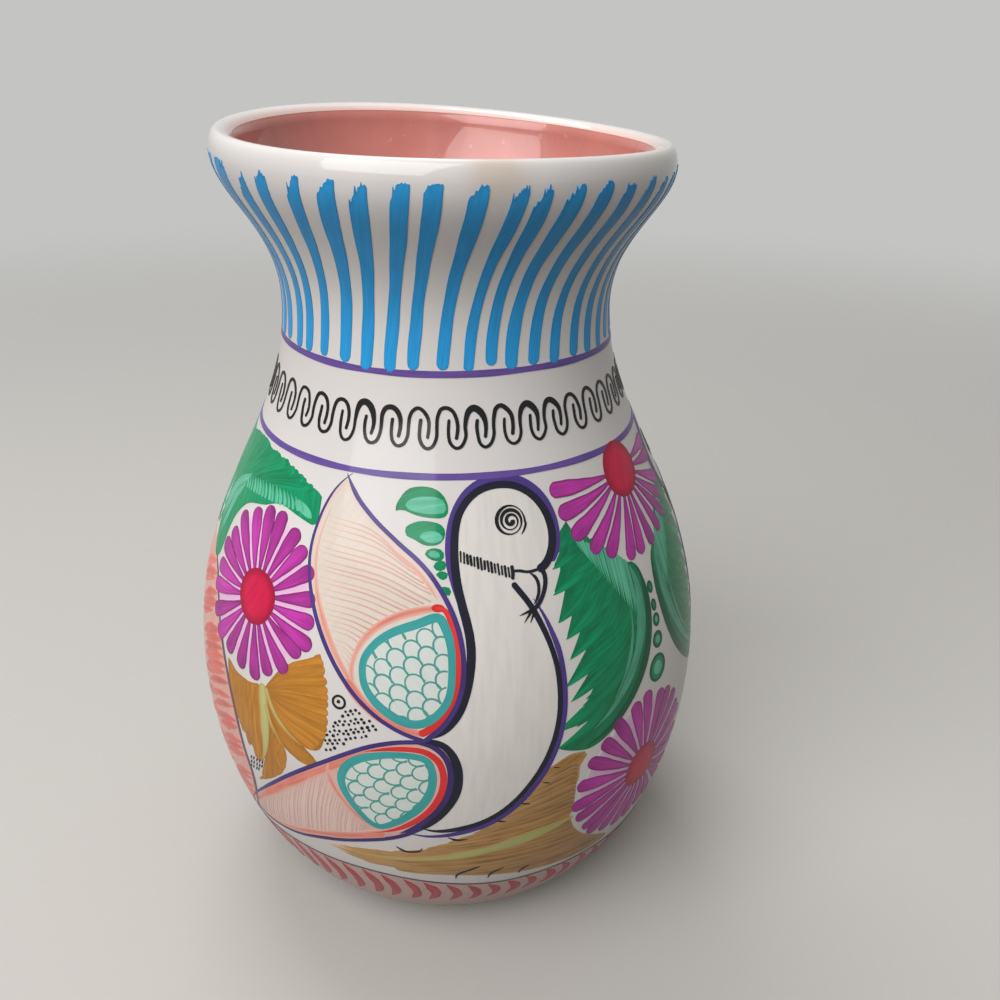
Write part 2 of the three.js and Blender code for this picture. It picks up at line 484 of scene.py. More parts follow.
class Brushwork:
    """Shapes of one paint, laid on the wall as thin solids of one piece.

    Each vertex keeps how the brush passed it: millimetres along the stroke,
    millimetres across it, and millimetres in from the painted edge. Its tone runs
    from 0, where the paint is dark, over 0.5 to 1, where it is light.
    """

    def __init__(self, lift):
        self.wall = Wall()
        self.lift = lift
        self.places = []
        self.lifts = []
        self.brush = []
        self.tones = []
        self.faces = []
        self.count = 0
        self.shapes = 0

    def add(self, places, brush, faces, tone=0.5, level=0):
        """Adds a patch, so many hairs above the bottom of its layer."""
        lift = self.lift + SHAPE_STEP * level
        self.places.append(places)
        self.brush.append(brush)
        self.tones.append(np.broadcast_to(tone, len(places)))
        self.lifts.append(np.full(len(places), lift))
        self.faces.extend(tuple(k + self.count for k in face) for face in faces)
        self.count += len(places)
        self.shapes += 1

    def resampled(self, path, step, closed=False):
        """The path with its places a step apart, in millimetres on the wall."""
        path = np.vstack([path, path[:1]]) if closed else np.asarray(path)
        scale = self.wall.mm_per_degree(path[:, 1])
        middle = (scale[1:] + scale[:-1]) / 2
        lengths = np.hypot(np.diff(path[:, 0]) * middle, np.diff(path[:, 1]))
        run = np.concatenate([[0], np.cumsum(lengths)])
        count = max(2, math.ceil(run[-1] / step))
        at = np.linspace(0, run[-1], count + 1)
        if not closed:
            near = step * np.array((0.04, 0.15, 0.35, 0.65))
            at = np.unique(np.concatenate([at, near, run[-1] - near]).clip(0, run[-1]))
        spaced = np.stack([np.interp(at, run, path[:, k]) for k in (0, 1)], axis=1)
        return (spaced[:-1], at[:-1]) if closed else (spaced, at)

    def stroke(
        self, path, width, tips="round", taper=None, closed=False, wobble=0.06, step=0.9, tone=0.5,
    ):
        """A line of paint along a path. Its width, in millimetres, and its tone may go
        with the share of the way along; tips are round, pointed or cut, one word or two."""
        centre, run = self.resampled(path, step, closed)
        count = len(centre)
        share = run / max(run[-1], 1e-6)
        widths = width(share) if callable(width) else np.full(count, float(width))
        half = widths / 2 * (1 + wander(count, wobble, self.shapes))
        if not closed:
            tips = (tips, tips) if isinstance(tips, str) else tips
            for tip, far in zip(tips, (run, run[-1] - run)):
                if tip == "cut":
                    continue
                reach = (taper or 6 * widths.max()) if tip == "pointed" else widths.mean() / 2
                near = np.clip(far / reach, 0, 1)
                rounded = np.sqrt(np.clip(1 - (1 - near) ** 2, 0, 1))
                half = half * (near ** 0.7 if tip == "pointed" else rounded)
            half = np.maximum(half, 0.02)
        scale = self.wall.mm_per_degree(centre[:, 1])
        if closed:
            ahead = np.roll(centre, -1, axis=0) - np.roll(centre, 1, axis=0)
            ahead[:, 0] = (ahead[:, 0] + 180) % 360 - 180
        else:
            ahead = np.gradient(centre, axis=0)
        ahead = ahead * np.stack([scale, np.ones(count)], axis=1)
        ahead /= np.maximum(np.linalg.norm(ahead, axis=1), 1e-9)[:, None]
        left = np.stack([-ahead[:, 1] / scale, ahead[:, 0]], axis=1)
        across = np.array([1.0, 0.55, 0.0, -0.55, -1.0])
        grid = centre[:, None] + left[:, None] * (half[:, None] * across)[:, :, None]
        offset = half[:, None] * across
        edge = half[:, None] * (1 - np.abs(across))
        runs = np.broadcast_to(run[:, None], offset.shape)
        brush = np.stack([runs, offset + BRUSH_SHIFT * self.shapes, edge], axis=2)
        wide = len(across)
        last = count if closed else count - 1
        faces = []
        for k in range(last):
            a, b = k * wide, (k + 1) % count * wide
            faces += [(a + j, a + j + 1, b + j + 1, b + j) for j in range(wide - 1)]
        shades = tone(share) if callable(tone) else np.full(count, float(tone))
        level = FILL_LEVELS + self.shapes % STROKE_LEVELS
        self.add(grid.reshape(-1, 2), brush.reshape(-1, 3), faces, np.repeat(shades, wide), level)

    def line(self, side, places, width, **look):
        """A stroke on one side of the vase, through places."""
        self.stroke(side(smooth_path(places)), width, **look)

    def fan(
        self, side, starts, ends, count, width, seed,
        tones=(0.3, 0.7), fade=0.0, bend=(0.5, 0.5), uneven=0.25, **look,
    ):
        """Strokes from one line to another, each a little wider or narrower, darker or
        lighter than the next. bend is how far right and up the middle has come by
        then, and fade is how much lighter a stroke ends than it starts."""
        vary = random.Random(seed).uniform
        starts, ends = smooth_path(starts), smooth_path(ends)
        for k in range(count):
            at = (k + 0.5 + vary(-uneven, uneven)) / count
            start, end = along(starts, at), along(ends, at)
            middle = start + (end - start) * bend
            wide = width * vary(0.75, 1.25)
            tone = vary(*tones)
            shades = lambda share, tone=tone: np.clip(tone + fade * share, 0, 1)
            self.line(side, [start, middle, end], wide, tone=shades, **look)

    def fill(self, outline, grain=90.0, spacing=1.5, tone=0.5):
        """An area of paint inside a closed outline. grain is the way that the brush
        went, in degrees from level, and tone may go with the place."""
        ring, _ = self.resampled(outline, spacing, closed=True)
        scale = float(self.wall.mm_per_degree(ring[:, 1].mean()))
        flat = ring * (scale, 1)
        low, high = flat.min(axis=0), flat.max(axis=0)
        row_gap = spacing * 0.87
        grid = []
        for row, up in enumerate(np.arange(low[1] + row_gap / 2, high[1], row_gap)):
            shift = spacing / 2 * (row % 2)
            grid += [(across, up) for across in np.arange(low[0] + shift, high[0], spacing)]
        grid = np.array(grid).reshape(-1, 2)
        if len(grid):
            keep = inside(flat, grid) & (edge_distance(flat, grid) > spacing * 0.45)
            grid = grid[keep]
        points = [Vector(place) for place in np.vstack([flat, grid])]
        spots, _, faces, *_ = delaunay_2d_cdt(points, [], [list(range(len(ring)))], 1, 1e-5)
        spots = np.array([tuple(spot) for spot in spots])
        turn = math.radians(grain)
        along = spots[:, 0] * math.cos(turn) + spots[:, 1] * math.sin(turn)
        across = -spots[:, 0] * math.sin(turn) + spots[:, 1] * math.cos(turn)
        edge = edge_distance(flat, spots)
        brush = np.stack([along, across + BRUSH_SHIFT * self.shapes, edge], axis=1)
        spots = spots / (scale, 1)
        self.add(spots, brush, faces, tone(spots) if callable(tone) else tone, self.shapes % FILL_LEVELS)

    def band(self, turns, lows, highs):
        """A band all round, between two lines up the wall."""
        rows_up = max(2, math.ceil((highs - lows).max() / 1.8))
        share = np.linspace(0, 1, rows_up + 1)
        ups = lows[:, None] + (highs - lows)[:, None] * share
        angles = np.broadcast_to(turns[:, None], ups.shape)
        edge = (highs - lows)[:, None] * np.minimum(share, 1 - share)
        brush = np.stack([angles * 1.2, ups, edge], axis=2)
        wide = rows_up + 1
        faces = []
        for k in range(len(turns)):
            a, b = k * wide, (k + 1) % len(turns) * wide
            faces += [(a + j, b + j, b + j + 1, a + j + 1) for j in range(rows_up)]
        self.add(np.stack([angles, ups], axis=2).reshape(-1, 2), brush.reshape(-1, 3), faces)

    def piece(self, name, paint_name=None):
        """Turns the patches into one piece of thin solids, in the paint of its name."""
        places = np.vstack(self.places)
        points = self.wall.points(places, np.concatenate(self.lifts)) * MM
        mesh = bpy.data.meshes.new(name)
        mesh.from_pydata(points.tolist(), [], self.faces)
        attribute = mesh.attributes.new("brush", "FLOAT_VECTOR", "POINT")
        attribute.data.foreach_set("vector", np.vstack(self.brush).ravel())
        attribute = mesh.attributes.new("tone", "FLOAT", "POINT")
        attribute.data.foreach_set("value", np.concatenate(self.tones))
        mesh.update()
        piece = bpy.data.objects.new(name, mesh)
        bpy.context.scene.collection.objects.link(piece)
        deselect_all()
        piece.select_set(True)
        bpy.context.view_layer.objects.active = piece
        bpy.ops.object.modifier_add(type="SOLIDIFY")
        solidify = piece.modifiers[-1]
        solidify.thickness = (self.lift + PAINT_ROOT) * MM
        solidify.offset = -1
        bpy.ops.object.modifier_apply(modifier=solidify.name)
        bpy.ops.object.shade_smooth_by_angle(angle=SMOOTH_ANGLE)
        paint_name = paint_name or name
        return finish_piece(piece, name, paint(paint_name, *PAINTS[paint_name]), slot="slip")


def inside(ring, points):
    """Which points lie inside a closed ring, by counting crossings."""
    result = np.zeros(len(points), bool)
    x, y = points.T
    for (ax, ay), (bx, by) in zip(ring, np.roll(ring, -1, axis=0)):
        crosses = (ay > y) != (by > y)
        with np.errstate(divide="ignore", invalid="ignore"):
            result ^= crosses & (x < (bx - ax) * (y - ay) / (by - ay) + ax)
    return result


def edge_distance(ring, points):
    """Distance of each point from the nearest side of a ring."""
    nearest = np.full(len(points), 1e9)
    for start, end in zip(ring, np.roll(ring, -1, axis=0)):
        side = end - start
        share = np.clip((points - start) @ side / max(side @ side, 1e-12), 0, 1)
        gap = points - (start + share[:, None] * side)
        nearest = np.minimum(nearest, np.hypot(*gap.T))
    return nearest


class Value:
    """A shader socket. Arithmetic on it adds Math nodes."""

    def __init__(self, tree, socket):
        self.tree = tree
        self.socket = socket

    def math(self, operation, *terms):
        node = self.tree.nodes.new("ShaderNodeMath")
        node.operation = operation
        for socket, term in zip(node.inputs, terms):
            if isinstance(term, Value):
                self.tree.links.new(term.socket, socket)
            else:
                socket.default_value = term
        return Value(self.tree, node.outputs[0])

    def output(self, name):
        return Value(self.tree, self.socket.node.outputs[name])

    def __add__(self, other):
        return self.math("ADD", self, other)

    def __sub__(self, other):
        return self.math("SUBTRACT", self, other)

    def __rsub__(self, other):
        return self.math("SUBTRACT", other, self)

    def __mul__(self, other):
        return self.math("MULTIPLY", self, other)

    __radd__ = __add__
    __rmul__ = __mul__


class Finish:
    """One material, or the world, and its nodes."""

    def __init__(self, name, kind="Material"):
        self.kind = kind
        self.owner = (bpy.data.worlds if kind == "World" else bpy.data.materials).new(name)
        self.owner.use_nodes = True
        self.tree = self.owner.node_tree
        self.tree.nodes.clear()

    def node(self, kind, inputs, output=0, **settings):
        """Adds a node with the values or links of its sockets, and its settings."""
        node = self.tree.nodes.new("ShaderNode" + kind)
        for key, value in settings.items():
            setattr(node, key, value)
        for key, value in inputs.items():
            if isinstance(value, Value):
                self.tree.links.new(value.socket, node.inputs[key])
            else:
                node.inputs[key].default_value = value
        return Value(self.tree, node.outputs[output])

    def mix(self, factor, first, second, blend="MIX"):
        """A colour between two, or the second laid on the first in another blend."""
        def rgba(colour):
            return colour if isinstance(colour, Value) else (*colour[:3], 1)
        inputs = {0: factor, 6: rgba(first), 7: rgba(second)}
        return self.node("Mix", inputs, 2, data_type="RGBA", blend_type=blend)

    def step(self, value, low, high):
        """0 below low and 1 above high, eased between."""
        inputs = {"Value": value, "From Min": low, "From Max": high}
        return self.node("MapRange", inputs, interpolation_type="SMOOTHSTEP")

    def noise(self, place, scale, detail=2.0, roughness=0.5):
        inputs = {"Vector": place, "Scale": scale, "Detail": detail, "Roughness": roughness}
        return self.node("TexNoise", inputs)

    def place(self):
        """Object coordinates, in metres."""
        return self.node("TexCoord", {}, output="Object")

    def bump(self, height, distance, strength):
        return self.node("Bump", {"Height": height, "Distance": distance, "Strength": strength})

    def surface(self, **inputs):
        """Ends the tree with a principled shader. Underscores stand for spaces."""
        named = {key.replace("_", " "): value for key, value in inputs.items()}
        for key, value in named.items():
            if "Color" in key and not isinstance(value, Value):
                named[key] = (*value[:3], 1)
        return self.end(self.node("BsdfPrincipled", named))

    def end(self, shader):
        end = self.tree.nodes.new("ShaderNodeOutput" + self.kind)
        self.tree.links.new(shader.socket, end.inputs["Surface"])
        return self.owner

    def seen(self):
        """1 for the rays that show the stage, 0 for those by which it lights the vase."""
        rays = self.node("LightPath", {}, output="Is Camera Ray")
        return rays + rays.output("Is Glossy Ray") + rays.output("Is Transmission Ray")


def shade(colour, factor):
    """A colour made darker or lighter by a factor."""
    return tuple(min(1.0, channel * factor) for channel in colour)


def lighter(colour, factor):
    """A colour as thin paint shows it over white: brighter and a little paler."""
    return tuple(min(1.0, channel * factor + 0.006 * (factor - 1)) for channel in colour)


def painted(colour):
    """A colour of the vase by name, alone or with a factor, or one given as 0 to 255."""
    if isinstance(colour, str):
        return getattr(colours(), colour)
    if len(colour) == 2:
        return shade(painted(colour[0]), colour[1])
    return linear(*colour)


# Paints: the colour, factors for its dark and its light strokes, how strong the
# streaks are, how strong and how wide its edge is, the gap between hairs of the
# brush, both in millimetres, and a colour for the edge. The last two may be left out
PAINTS = {
    "blue_stripes": ("blue", 0.6, 1.25, 0.45, 0.45, 0.55),
    "purple_rings": ((108, 82, 162), 0.62, 1.3, 0.55, 0.4, 0.3),
    "dove_white": ("white", 0.86, 1.04, 0.6, 0.0, 0.6, 2.2),
    "dove_purple": ("purple", 0.62, 1.2, 0.5, 0.3, 0.3),
    "wing_peach": ("peach", 0.93, 1.02, 0.6, 0.45, 2.6, 1.2, (240, 202, 184)),
    "wing_pink": ("pink", 0.86, 1.05, 0.6, 0.4, 2.4, 1.2, (226, 150, 138)),
    "wing_hatching": ((234, 190, 174), 0.76, 1.08, 0.5, 0.0, 0.3),
    "wing_pale_lines": ((240, 212, 203), 0.9, 1.05, 0.5, 0.3, 0.3, 0.45, "pink"),
    "wing_coral": ("coral", 0.7, 1.6, 0.7, 0.7, 1.0, 0.4, (242, 204, 188)),
    "wing_red": ("red", 0.72, 1.5, 0.5, 0.3, 0.4),
    "scale_ground": ("pale_mint", 0.9, 1.04, 0.5, 0.3, 2.4, 1.5),
    "teal_rings": ("teal", 0.7, 1.15, 0.5, 0.35, 0.4),
    "wing_scales": ((84, 166, 158), 0.75, 1.15, 0.5, 0.1, 0.2),
    "wing_purple": ("purple", 0.42, 1.3, 0.5, 0.3, 0.3),
    "daisy_blush": ((244, 196, 234), 0.9, 1.02, 0.4, 0.7, 2.4, 1.5, "slip"),
    "daisy_petals": ("magenta", 0.4, 1.7, 0.5, 0.85, 0.7, 0.5),
    "daisy_hearts": ("crimson", 0.5, 1.2, 0.25, 0.9, 3.2, 1.6),
    "leaf_green": ("green", 0.46, 1.5, 0.5, 0.3, 0.6, 0.8),
    "leaf_mint": ("mint", 0.55, 1.15, 0.6, 0.2, 0.4, 0.7),
    "leaf_dark": (("green", 0.34), 0.7, 1.5, 0.6, 0.1, 0.4, 0.6),
    "leaf_ochre": ("ochre", 0.6, 1.35, 0.7, 0.4, 0.8, 1.0),
    "leaf_umber": ((178, 130, 70), 0.5, 1.6, 0.7, 0.4, 1.2, 1.0, (206, 178, 140)),
    "leaf_veins": ("vein", 0.8, 1.08, 0.5, 0.5, 1.0, 0.8, "ochre"),
    "panel_wash": ((240, 180, 168), 0.86, 1.06, 0.7, 0.1, 0.8, 1.4),
    "panel_coral": ((224, 106, 96), 0.78, 1.4, 0.6, 0.4, 1.0, 0.7, (238, 156, 142)),
    "panel_lines": ((108, 82, 104), 0.75, 1.2, 0.5, 0.2, 0.2),
    "base_wash": ((216, 180, 174), 0.92, 1.04, 0.6, 0.1, 0.8, 2.0),
    "base_line": ((84, 78, 84), 0.8, 1.3, 0.6, 0.1, 0.2),
    "base_crescents": ("rose", 0.68, 1.2, 0.7, 0.3, 0.5, 0.6),
    **dict.fromkeys(("meander", "dove_black", "leaf_pen", "pen_dots"), ("black", 0.7, 1.5, 0.4, 0.2, 0.2)),
    **dict.fromkeys(("dove_navy", "wing_navy"), ("navy", 0.7, 1.5, 0.45, 0.2, 0.3)),
}
GLOSS = 0.42


def paint(name, colour, dark, light, streaks, edge, edge_width, gap=0.45, edge_colour=None):
    """A brushed paint under the clear glaze: streaks along the stroke, darker and
    lighter strokes, and an edge where the paint pooled or ran out."""
    colour = painted(colour)
    finish = Finish(name)
    brush = finish.node("Attribute", {}, "Vector", attribute_name="brush")
    tone = finish.node("Attribute", {}, "Fac", attribute_name="tone")
    parts = finish.node("SeparateXYZ", {"Vector": brush})
    along, across, inward = (parts.output(axis) for axis in "XYZ")
    fine = finish.node("CombineXYZ", {"X": along * 0.06, "Y": across * (1 / gap)})
    broad = finish.node("CombineXYZ", {"X": along * 0.12, "Y": across * 0.35})
    hairs = finish.step(finish.noise(fine, 1.0, 3.0), 0.34, 0.68)
    pools = finish.step(finish.noise(broad, 1.0, 2.0), 0.3, 0.72)
    body = finish.mix(1 - tone * 2, colour, shade(colour, dark))
    body = finish.mix(tone * 2 - 1, body, lighter(colour, light))
    body = finish.mix(hairs * streaks, body, shade(colour, dark))
    body = finish.mix((1 - pools) * streaks * 0.6, body, lighter(colour, light))
    rim = 1 - finish.step(inward, 0.0, edge_width)
    body = finish.mix(rim * edge, body, painted(edge_colour) if edge_colour else shade(colour, dark))
    normal = finish.bump(hairs * 0.5 + pools * 0.5, 0.02 * MM, 0.5)
    return finish.surface(
        Base_Color=body,
        Roughness=0.45 + 0.1 * hairs,
        Normal=normal,
        Specular_IOR_Level=0.1,
        Coat_Weight=GLOSS,
        Coat_Roughness=0.08,
    )


def white_slip():
    """Cream slip under a clear glaze, with faint clouds, a tan stain and pinholes."""
    finish = Finish("white_slip")
    place = finish.place()
    slip = colours().slip
    clouds = finish.step(finish.noise(place, 24.0, 3.0), 0.35, 0.7)
    body = finish.mix(clouds * 0.5, slip, shade(slip, 0.93))
    warm = finish.step(finish.noise(place, 11.0, 2.0), 0.45, 0.75)
    body = finish.mix(warm * 0.35, body, linear(230, 222, 212))
    stain_place = Vector((11, -60, 227)) * MM
    away = finish.node("VectorMath", {0: place, 1: stain_place}, "Value", operation="DISTANCE")
    ragged = finish.noise(place, 90.0, 3.0) * 9.0 * MM
    stain = 1 - finish.step(away + ragged, 7 * MM, 15 * MM)
    body = finish.mix(stain * 0.5, body, linear(206, 184, 158))
    flat = finish.node("VectorMath", {0: place, 1: (1, 1, 0)}, operation="MULTIPLY")
    radius = finish.node("VectorMath", {0: flat}, "Value", operation="LENGTH")
    height = finish.node("SeparateXYZ", {"Vector": place}, output="Z")
    blush = (1 - finish.step(radius, 55.6 * MM, 58.4 * MM)) * finish.step(height, 219 * MM, 222 * MM)
    body = finish.mix(blush * 0.6, body, linear(232, 184, 170))
    pits = finish.node("TexVoronoi", {"Vector": place, "Scale": 95.0}, output="Distance")
    rare = finish.step(finish.noise(place, 60.0, 0.0), 0.62, 0.66)
    pinholes = (1 - finish.step(pits, 0.035, 0.06)) * rare
    body = finish.mix(pinholes * 0.75, body, linear(120, 92, 74))
    relief = finish.noise(place, 160.0, 4.0) * 0.4 + (1 - pinholes)
    return finish.surface(
        Base_Color=body,
        Roughness=0.4 + 0.1 * clouds,
        Normal=finish.bump(relief, 0.06 * MM, 0.35),
        Specular_IOR_Level=0.2,
        Coat_Weight=GLOSS + (1 - GLOSS) * finish.step(height, 212 * MM, 220 * MM),
        Coat_Roughness=0.06,
    )


def pink_glaze():
    """Pink glaze inside: glossy, mottled, a little darker where it ran thick."""
    finish = Finish("pink_glaze")
    place = finish.place()
    glaze = colours().glaze
    clouds = finish.step(finish.noise(place, 30.0, 4.0, 0.55), 0.32, 0.7)
    waves = finish.noise(place, 45.0, 1.0)
    body = finish.mix(clouds * 0.6, shade(glaze, 1.06), shade(glaze, 0.8))
    drips = finish.node("Mapping", {"Vector": place, "Scale": (60, 60, 7)})
    runs = finish.step(finish.noise(drips, 1.0, 3.0), 0.4, 0.75)
    body = finish.mix(runs * 0.3, body, linear(176, 92, 84))
    speck = finish.step(finish.noise(place, 420.0, 1.0), 0.7, 0.76)
    body = finish.mix(speck * 0.35, body, linear(232, 170, 154))
    height = clouds * 0.1 + runs * 0.1 + waves
    return finish.surface(
        Base_Color=body,
        Roughness=0.3 + 0.1 * clouds,
        Normal=finish.bump(height, 2.2 * MM, 0.6),
        Coat_Weight=0.8,
        Coat_Roughness=0.05,
    )


def bare_clay():
    """Fired terracotta: matt, grainy, with darker and paler flecks."""
    finish = Finish("bare_clay")
    place = finish.place()
    clay = colours().clay
    tone = finish.step(finish.noise(place, 45.0, 4.0), 0.3, 0.7)
    body = finish.mix(tone * 0.6, clay, shade(clay, 0.72))
    grain = finish.noise(place, 900.0, 3.0)
    flecks = finish.step(grain, 0.62, 0.7)
    body = finish.mix(flecks * 0.5, body, linear(216, 168, 132))
    return finish.surface(
        Base_Color=body,
        Roughness=0.82 + 0.1 * tone,
        Normal=finish.bump(grain + tone * 0.5, 0.12 * MM, 0.6),
    )


# Camera, fitted to the photograph's rings and outline
CAMERA_PLACE = Vector((0, -285.5, 252.5)) * MM
CAMERA_PITCH = 0.4327
CAMERA_YAW = 0.0558
CAMERA_ROLL = 0.0152
CAMERA_LENS = 36.206
CAMERA_SENSOR = 36.0
BACKDROP = (196, 196, 194)

# Lamps: name, place, size, power and colour
LAMPS = (
    ("key_lamp", (-0.59, -0.88, 1.06), (1.3, 1.3), 19.4, (1.0, 0.99, 0.98)),
    ("top_lamp", (-0.1, 0.3, 1.5), (1.2, 1.0), 2.6, (1.0, 1.0, 1.0)),
    ("window_lamp", (-0.24, 0.48, 1.27), (0.6, 0.5), 5.0, (1.0, 1.0, 1.0)),
)
LAMP_AIM = Vector((0, 0, 0.11))


class VASE_OT_stage(bpy.types.Operator):
    """Floor, backdrop, soft lamps and the camera"""

    bl_idname = "vase.stage"
    bl_label = "Studio"

    def execute(self, context):
        self.add_floor()
        self.add_world(context)
        for lamp in LAMPS:
            self.add_lamp(*lamp)
        self.add_camera(context)
        context.scene.view_settings.view_transform = "Standard"
        return {"FINISHED"}

    def add_floor(self):
        deselect_all()
        bpy.ops.mesh.primitive_plane_add(size=6, location=(0, 0, 0))
        floor = bpy.context.object
        floor.name = "floor"
        bpy.ops.object.mode_set(mode="EDIT")
        bpy.ops.mesh.subdivide(number_cuts=8)
        bpy.ops.object.mode_set(mode="OBJECT")
        finish = Finish("pale_floor")
        place = finish.place()
        cloud = finish.noise(place, 3.0, 2.0)
        pale = finish.mix(cloud * 0.5, linear(204, 202, 198), linear(198, 196, 192))
        colour = finish.mix(finish.seen(), linear(96, 91, 85), pale)
        near = finish.node("BsdfDiffuse", {"Color": colour})
        far = finish.node("Emission", {"Color": (*linear(*BACKDROP), 1)})
        away = finish.node("VectorMath", {0: place}, "Value", operation="LENGTH")
        fade = finish.step(away, 0.3, 1.3) * finish.seen()
        floor.data.materials.append(finish.end(finish.node("MixShader", {0: fade, 1: near, 2: far})))

    def add_world(self, context):
        world = Finish("studio", "World")
        dim = world.node("Background", {"Color": (*linear(217, 215, 211), 1), "Strength": 0.3})
        pale = world.node("Background", {"Color": (*linear(*BACKDROP), 1)})
        context.scene.world = world.end(world.node("MixShader", {0: world.seen(), 1: dim, 2: pale}))

    def add_lamp(self, name, place, size, power, colour):
        data = bpy.data.lights.new(name, "AREA")
        data.shape = "RECTANGLE"
        data.size, data.size_y = size
        data.energy = power
        data.color = colour
        lamp = bpy.data.objects.new(name, data)
        bpy.context.scene.collection.objects.link(lamp)
        lamp.location = place
        aim = LAMP_AIM - lamp.location
        lamp.rotation_euler = aim.to_track_quat("-Z", "Y").to_euler()

    def add_camera(self, context):
        data = bpy.data.cameras.new("camera")
        data.lens = CAMERA_LENS
        data.sensor_width = CAMERA_SENSOR
        camera = bpy.data.objects.new("camera", data)
        context.scene.collection.objects.link(camera)
        ahead = Vector((
            math.sin(CAMERA_YAW) * math.cos(CAMERA_PITCH),
            math.cos(CAMERA_YAW) * math.cos(CAMERA_PITCH),
            -math.sin(CAMERA_PITCH),
        ))
        right = Vector((math.cos(CAMERA_YAW), -math.sin(CAMERA_YAW), 0))
        up = right.cross(ahead)
        rolled_right = math.cos(CAMERA_ROLL) * right + math.sin(CAMERA_ROLL) * up
        rolled_up = math.cos(CAMERA_ROLL) * up - math.sin(CAMERA_ROLL) * right
        turn = Matrix((rolled_right, rolled_up, -ahead)).transposed()
        camera.matrix_world = Matrix.Translation(CAMERA_PLACE) @ turn.to_4x4()
        context.scene.camera = camera


class VASE_OT_clay_body(bpy.types.Operator):
    """The clay itself: base disc, bowl, shoulder, neck and lip"""

    bl_idname = "vase.clay_body"
    bl_label = "Clay body"

    def execute(self, context):
        wall = Wall()
        clay = bare_clay()
        outside = wall.inset(CLAY_DEPTH)
        inner = wall.inside(GLAZE_THICKNESS + COAT_CLEARANCE)
        lip_seam = wall.top - LIP_SEAM_DEPTH
        sections = (
            ("clay_bowl", "lower_bowl", FLOOR_THICKNESS, wall.belly_height),
            ("clay_shoulder", "shoulder_wall", wall.belly_height, NECK_SEAM_HEIGHT),
            ("clay_neck", "neck_wall", NECK_SEAM_HEIGHT, lip_seam),
        )
        for name, node, low, high in sections:
            levels = wall.levels(low, high, CLAY_ROW)
            section = np.vstack([rows(outside, levels), rows(inner, levels[::-1])])
            finish_piece(turned_shell(section, CLAY_SIDES), name, clay, node, slot="clay")
        levels = wall.levels(lip_seam, wall.side, SLIP_ROW)[:-1]
        lip = np.vstack([rows(outside, levels), wall.lip(CLAY_DEPTH, 0, math.pi), rows(inner, levels[::-1])])
        finish_piece(turned_shell(lip, CLAY_SIDES), "clay_lip", clay, "lip_ring", slot="clay")
        edge = rows(outside, wall.levels(BARE_FOOT_HEIGHT, FLOOR_THICKNESS, FOOT_ROW))
        foot = wall.outline[0, 0]
        rounded = [(foot - 1.2, 0), (foot - 0.4, 0.1), (foot + 0.3, 0.35)]
        top = [(rows(inner, np.array([FLOOR_THICKNESS]))[0, 0], FLOOR_THICKNESS), (0, FLOOR_THICKNESS)]
        base = np.vstack([[(0, 0), (foot / 3, 0), (foot * 2 / 3, 0)], rounded, edge, top])
        finish_piece(turned_shell(base, CLAY_SIDES), "clay_base", clay, "base_disc", slot="clay")
        return {"FINISHED"}


class VASE_OT_coats(bpy.types.Operator):
    """White slip outside and pink glaze inside"""

    bl_idname = "vase.coats"
    bl_label = "Slip and glaze"

    def execute(self, context):
        wall = Wall()
        slip_end = math.pi - GLAZE_EDGE_ANGLE
        levels = wall.levels(BARE_FOOT_HEIGHT, wall.side, SLIP_ROW)[:-1]
        over = wall.lip(SLIP_DEPTH, 0, slip_end, EDGE_STEPS)
        under = wall.lip(SLIP_BACK_DEPTH, slip_end, 0, EDGE_STEPS)
        outer = rows(wall.inset(SLIP_DEPTH), levels)
        inner = rows(wall.inset(SLIP_BACK_DEPTH), np.maximum(levels, BARE_FOOT_HEIGHT + 0.3))
        section = np.vstack([outer, over, under, inner[::-1]])
        finish_piece(turned_shell(section, SLIP_SIDES), "white_slip", white_slip(), "slip_coat", slot="slip")

        under_floor = FLOOR_THICKNESS + COAT_CLEARANCE
        on_floor = under_floor + GLAZE_THICKNESS
        glaze_start = slip_end + GLAZE_EDGE_GAP
        levels = wall.levels(under_floor + 3, wall.side, GLAZE_ROW)[:-1]
        back = wall.inside(GLAZE_THICKNESS)
        front = wall.inside(0)
        section = np.vstack([
            [(0, under_floor)],
            rows(back, np.array([under_floor])),
            rows(back, levels),
            wall.lip(GLAZE_THICKNESS, math.pi, glaze_start, GLAZE_EDGE_STEPS),
            wall.lip(GLAZE_LIP_DEPTH, glaze_start, math.pi, GLAZE_EDGE_STEPS),
            rows(front, levels[::-1]),
            rows(front, np.array([on_floor + GLAZE_CORNER_RISE])),
            [(rows(front, np.array([on_floor]))[0, 0] - GLAZE_CORNER_REACH, on_floor), (0, on_floor)],
        ])
        finish_piece(
            turned_shell(section, GLAZE_SIDES), "pink_glaze", pink_glaze(), "inner_glaze", slot="glaze",
        )
        return {"FINISHED"}


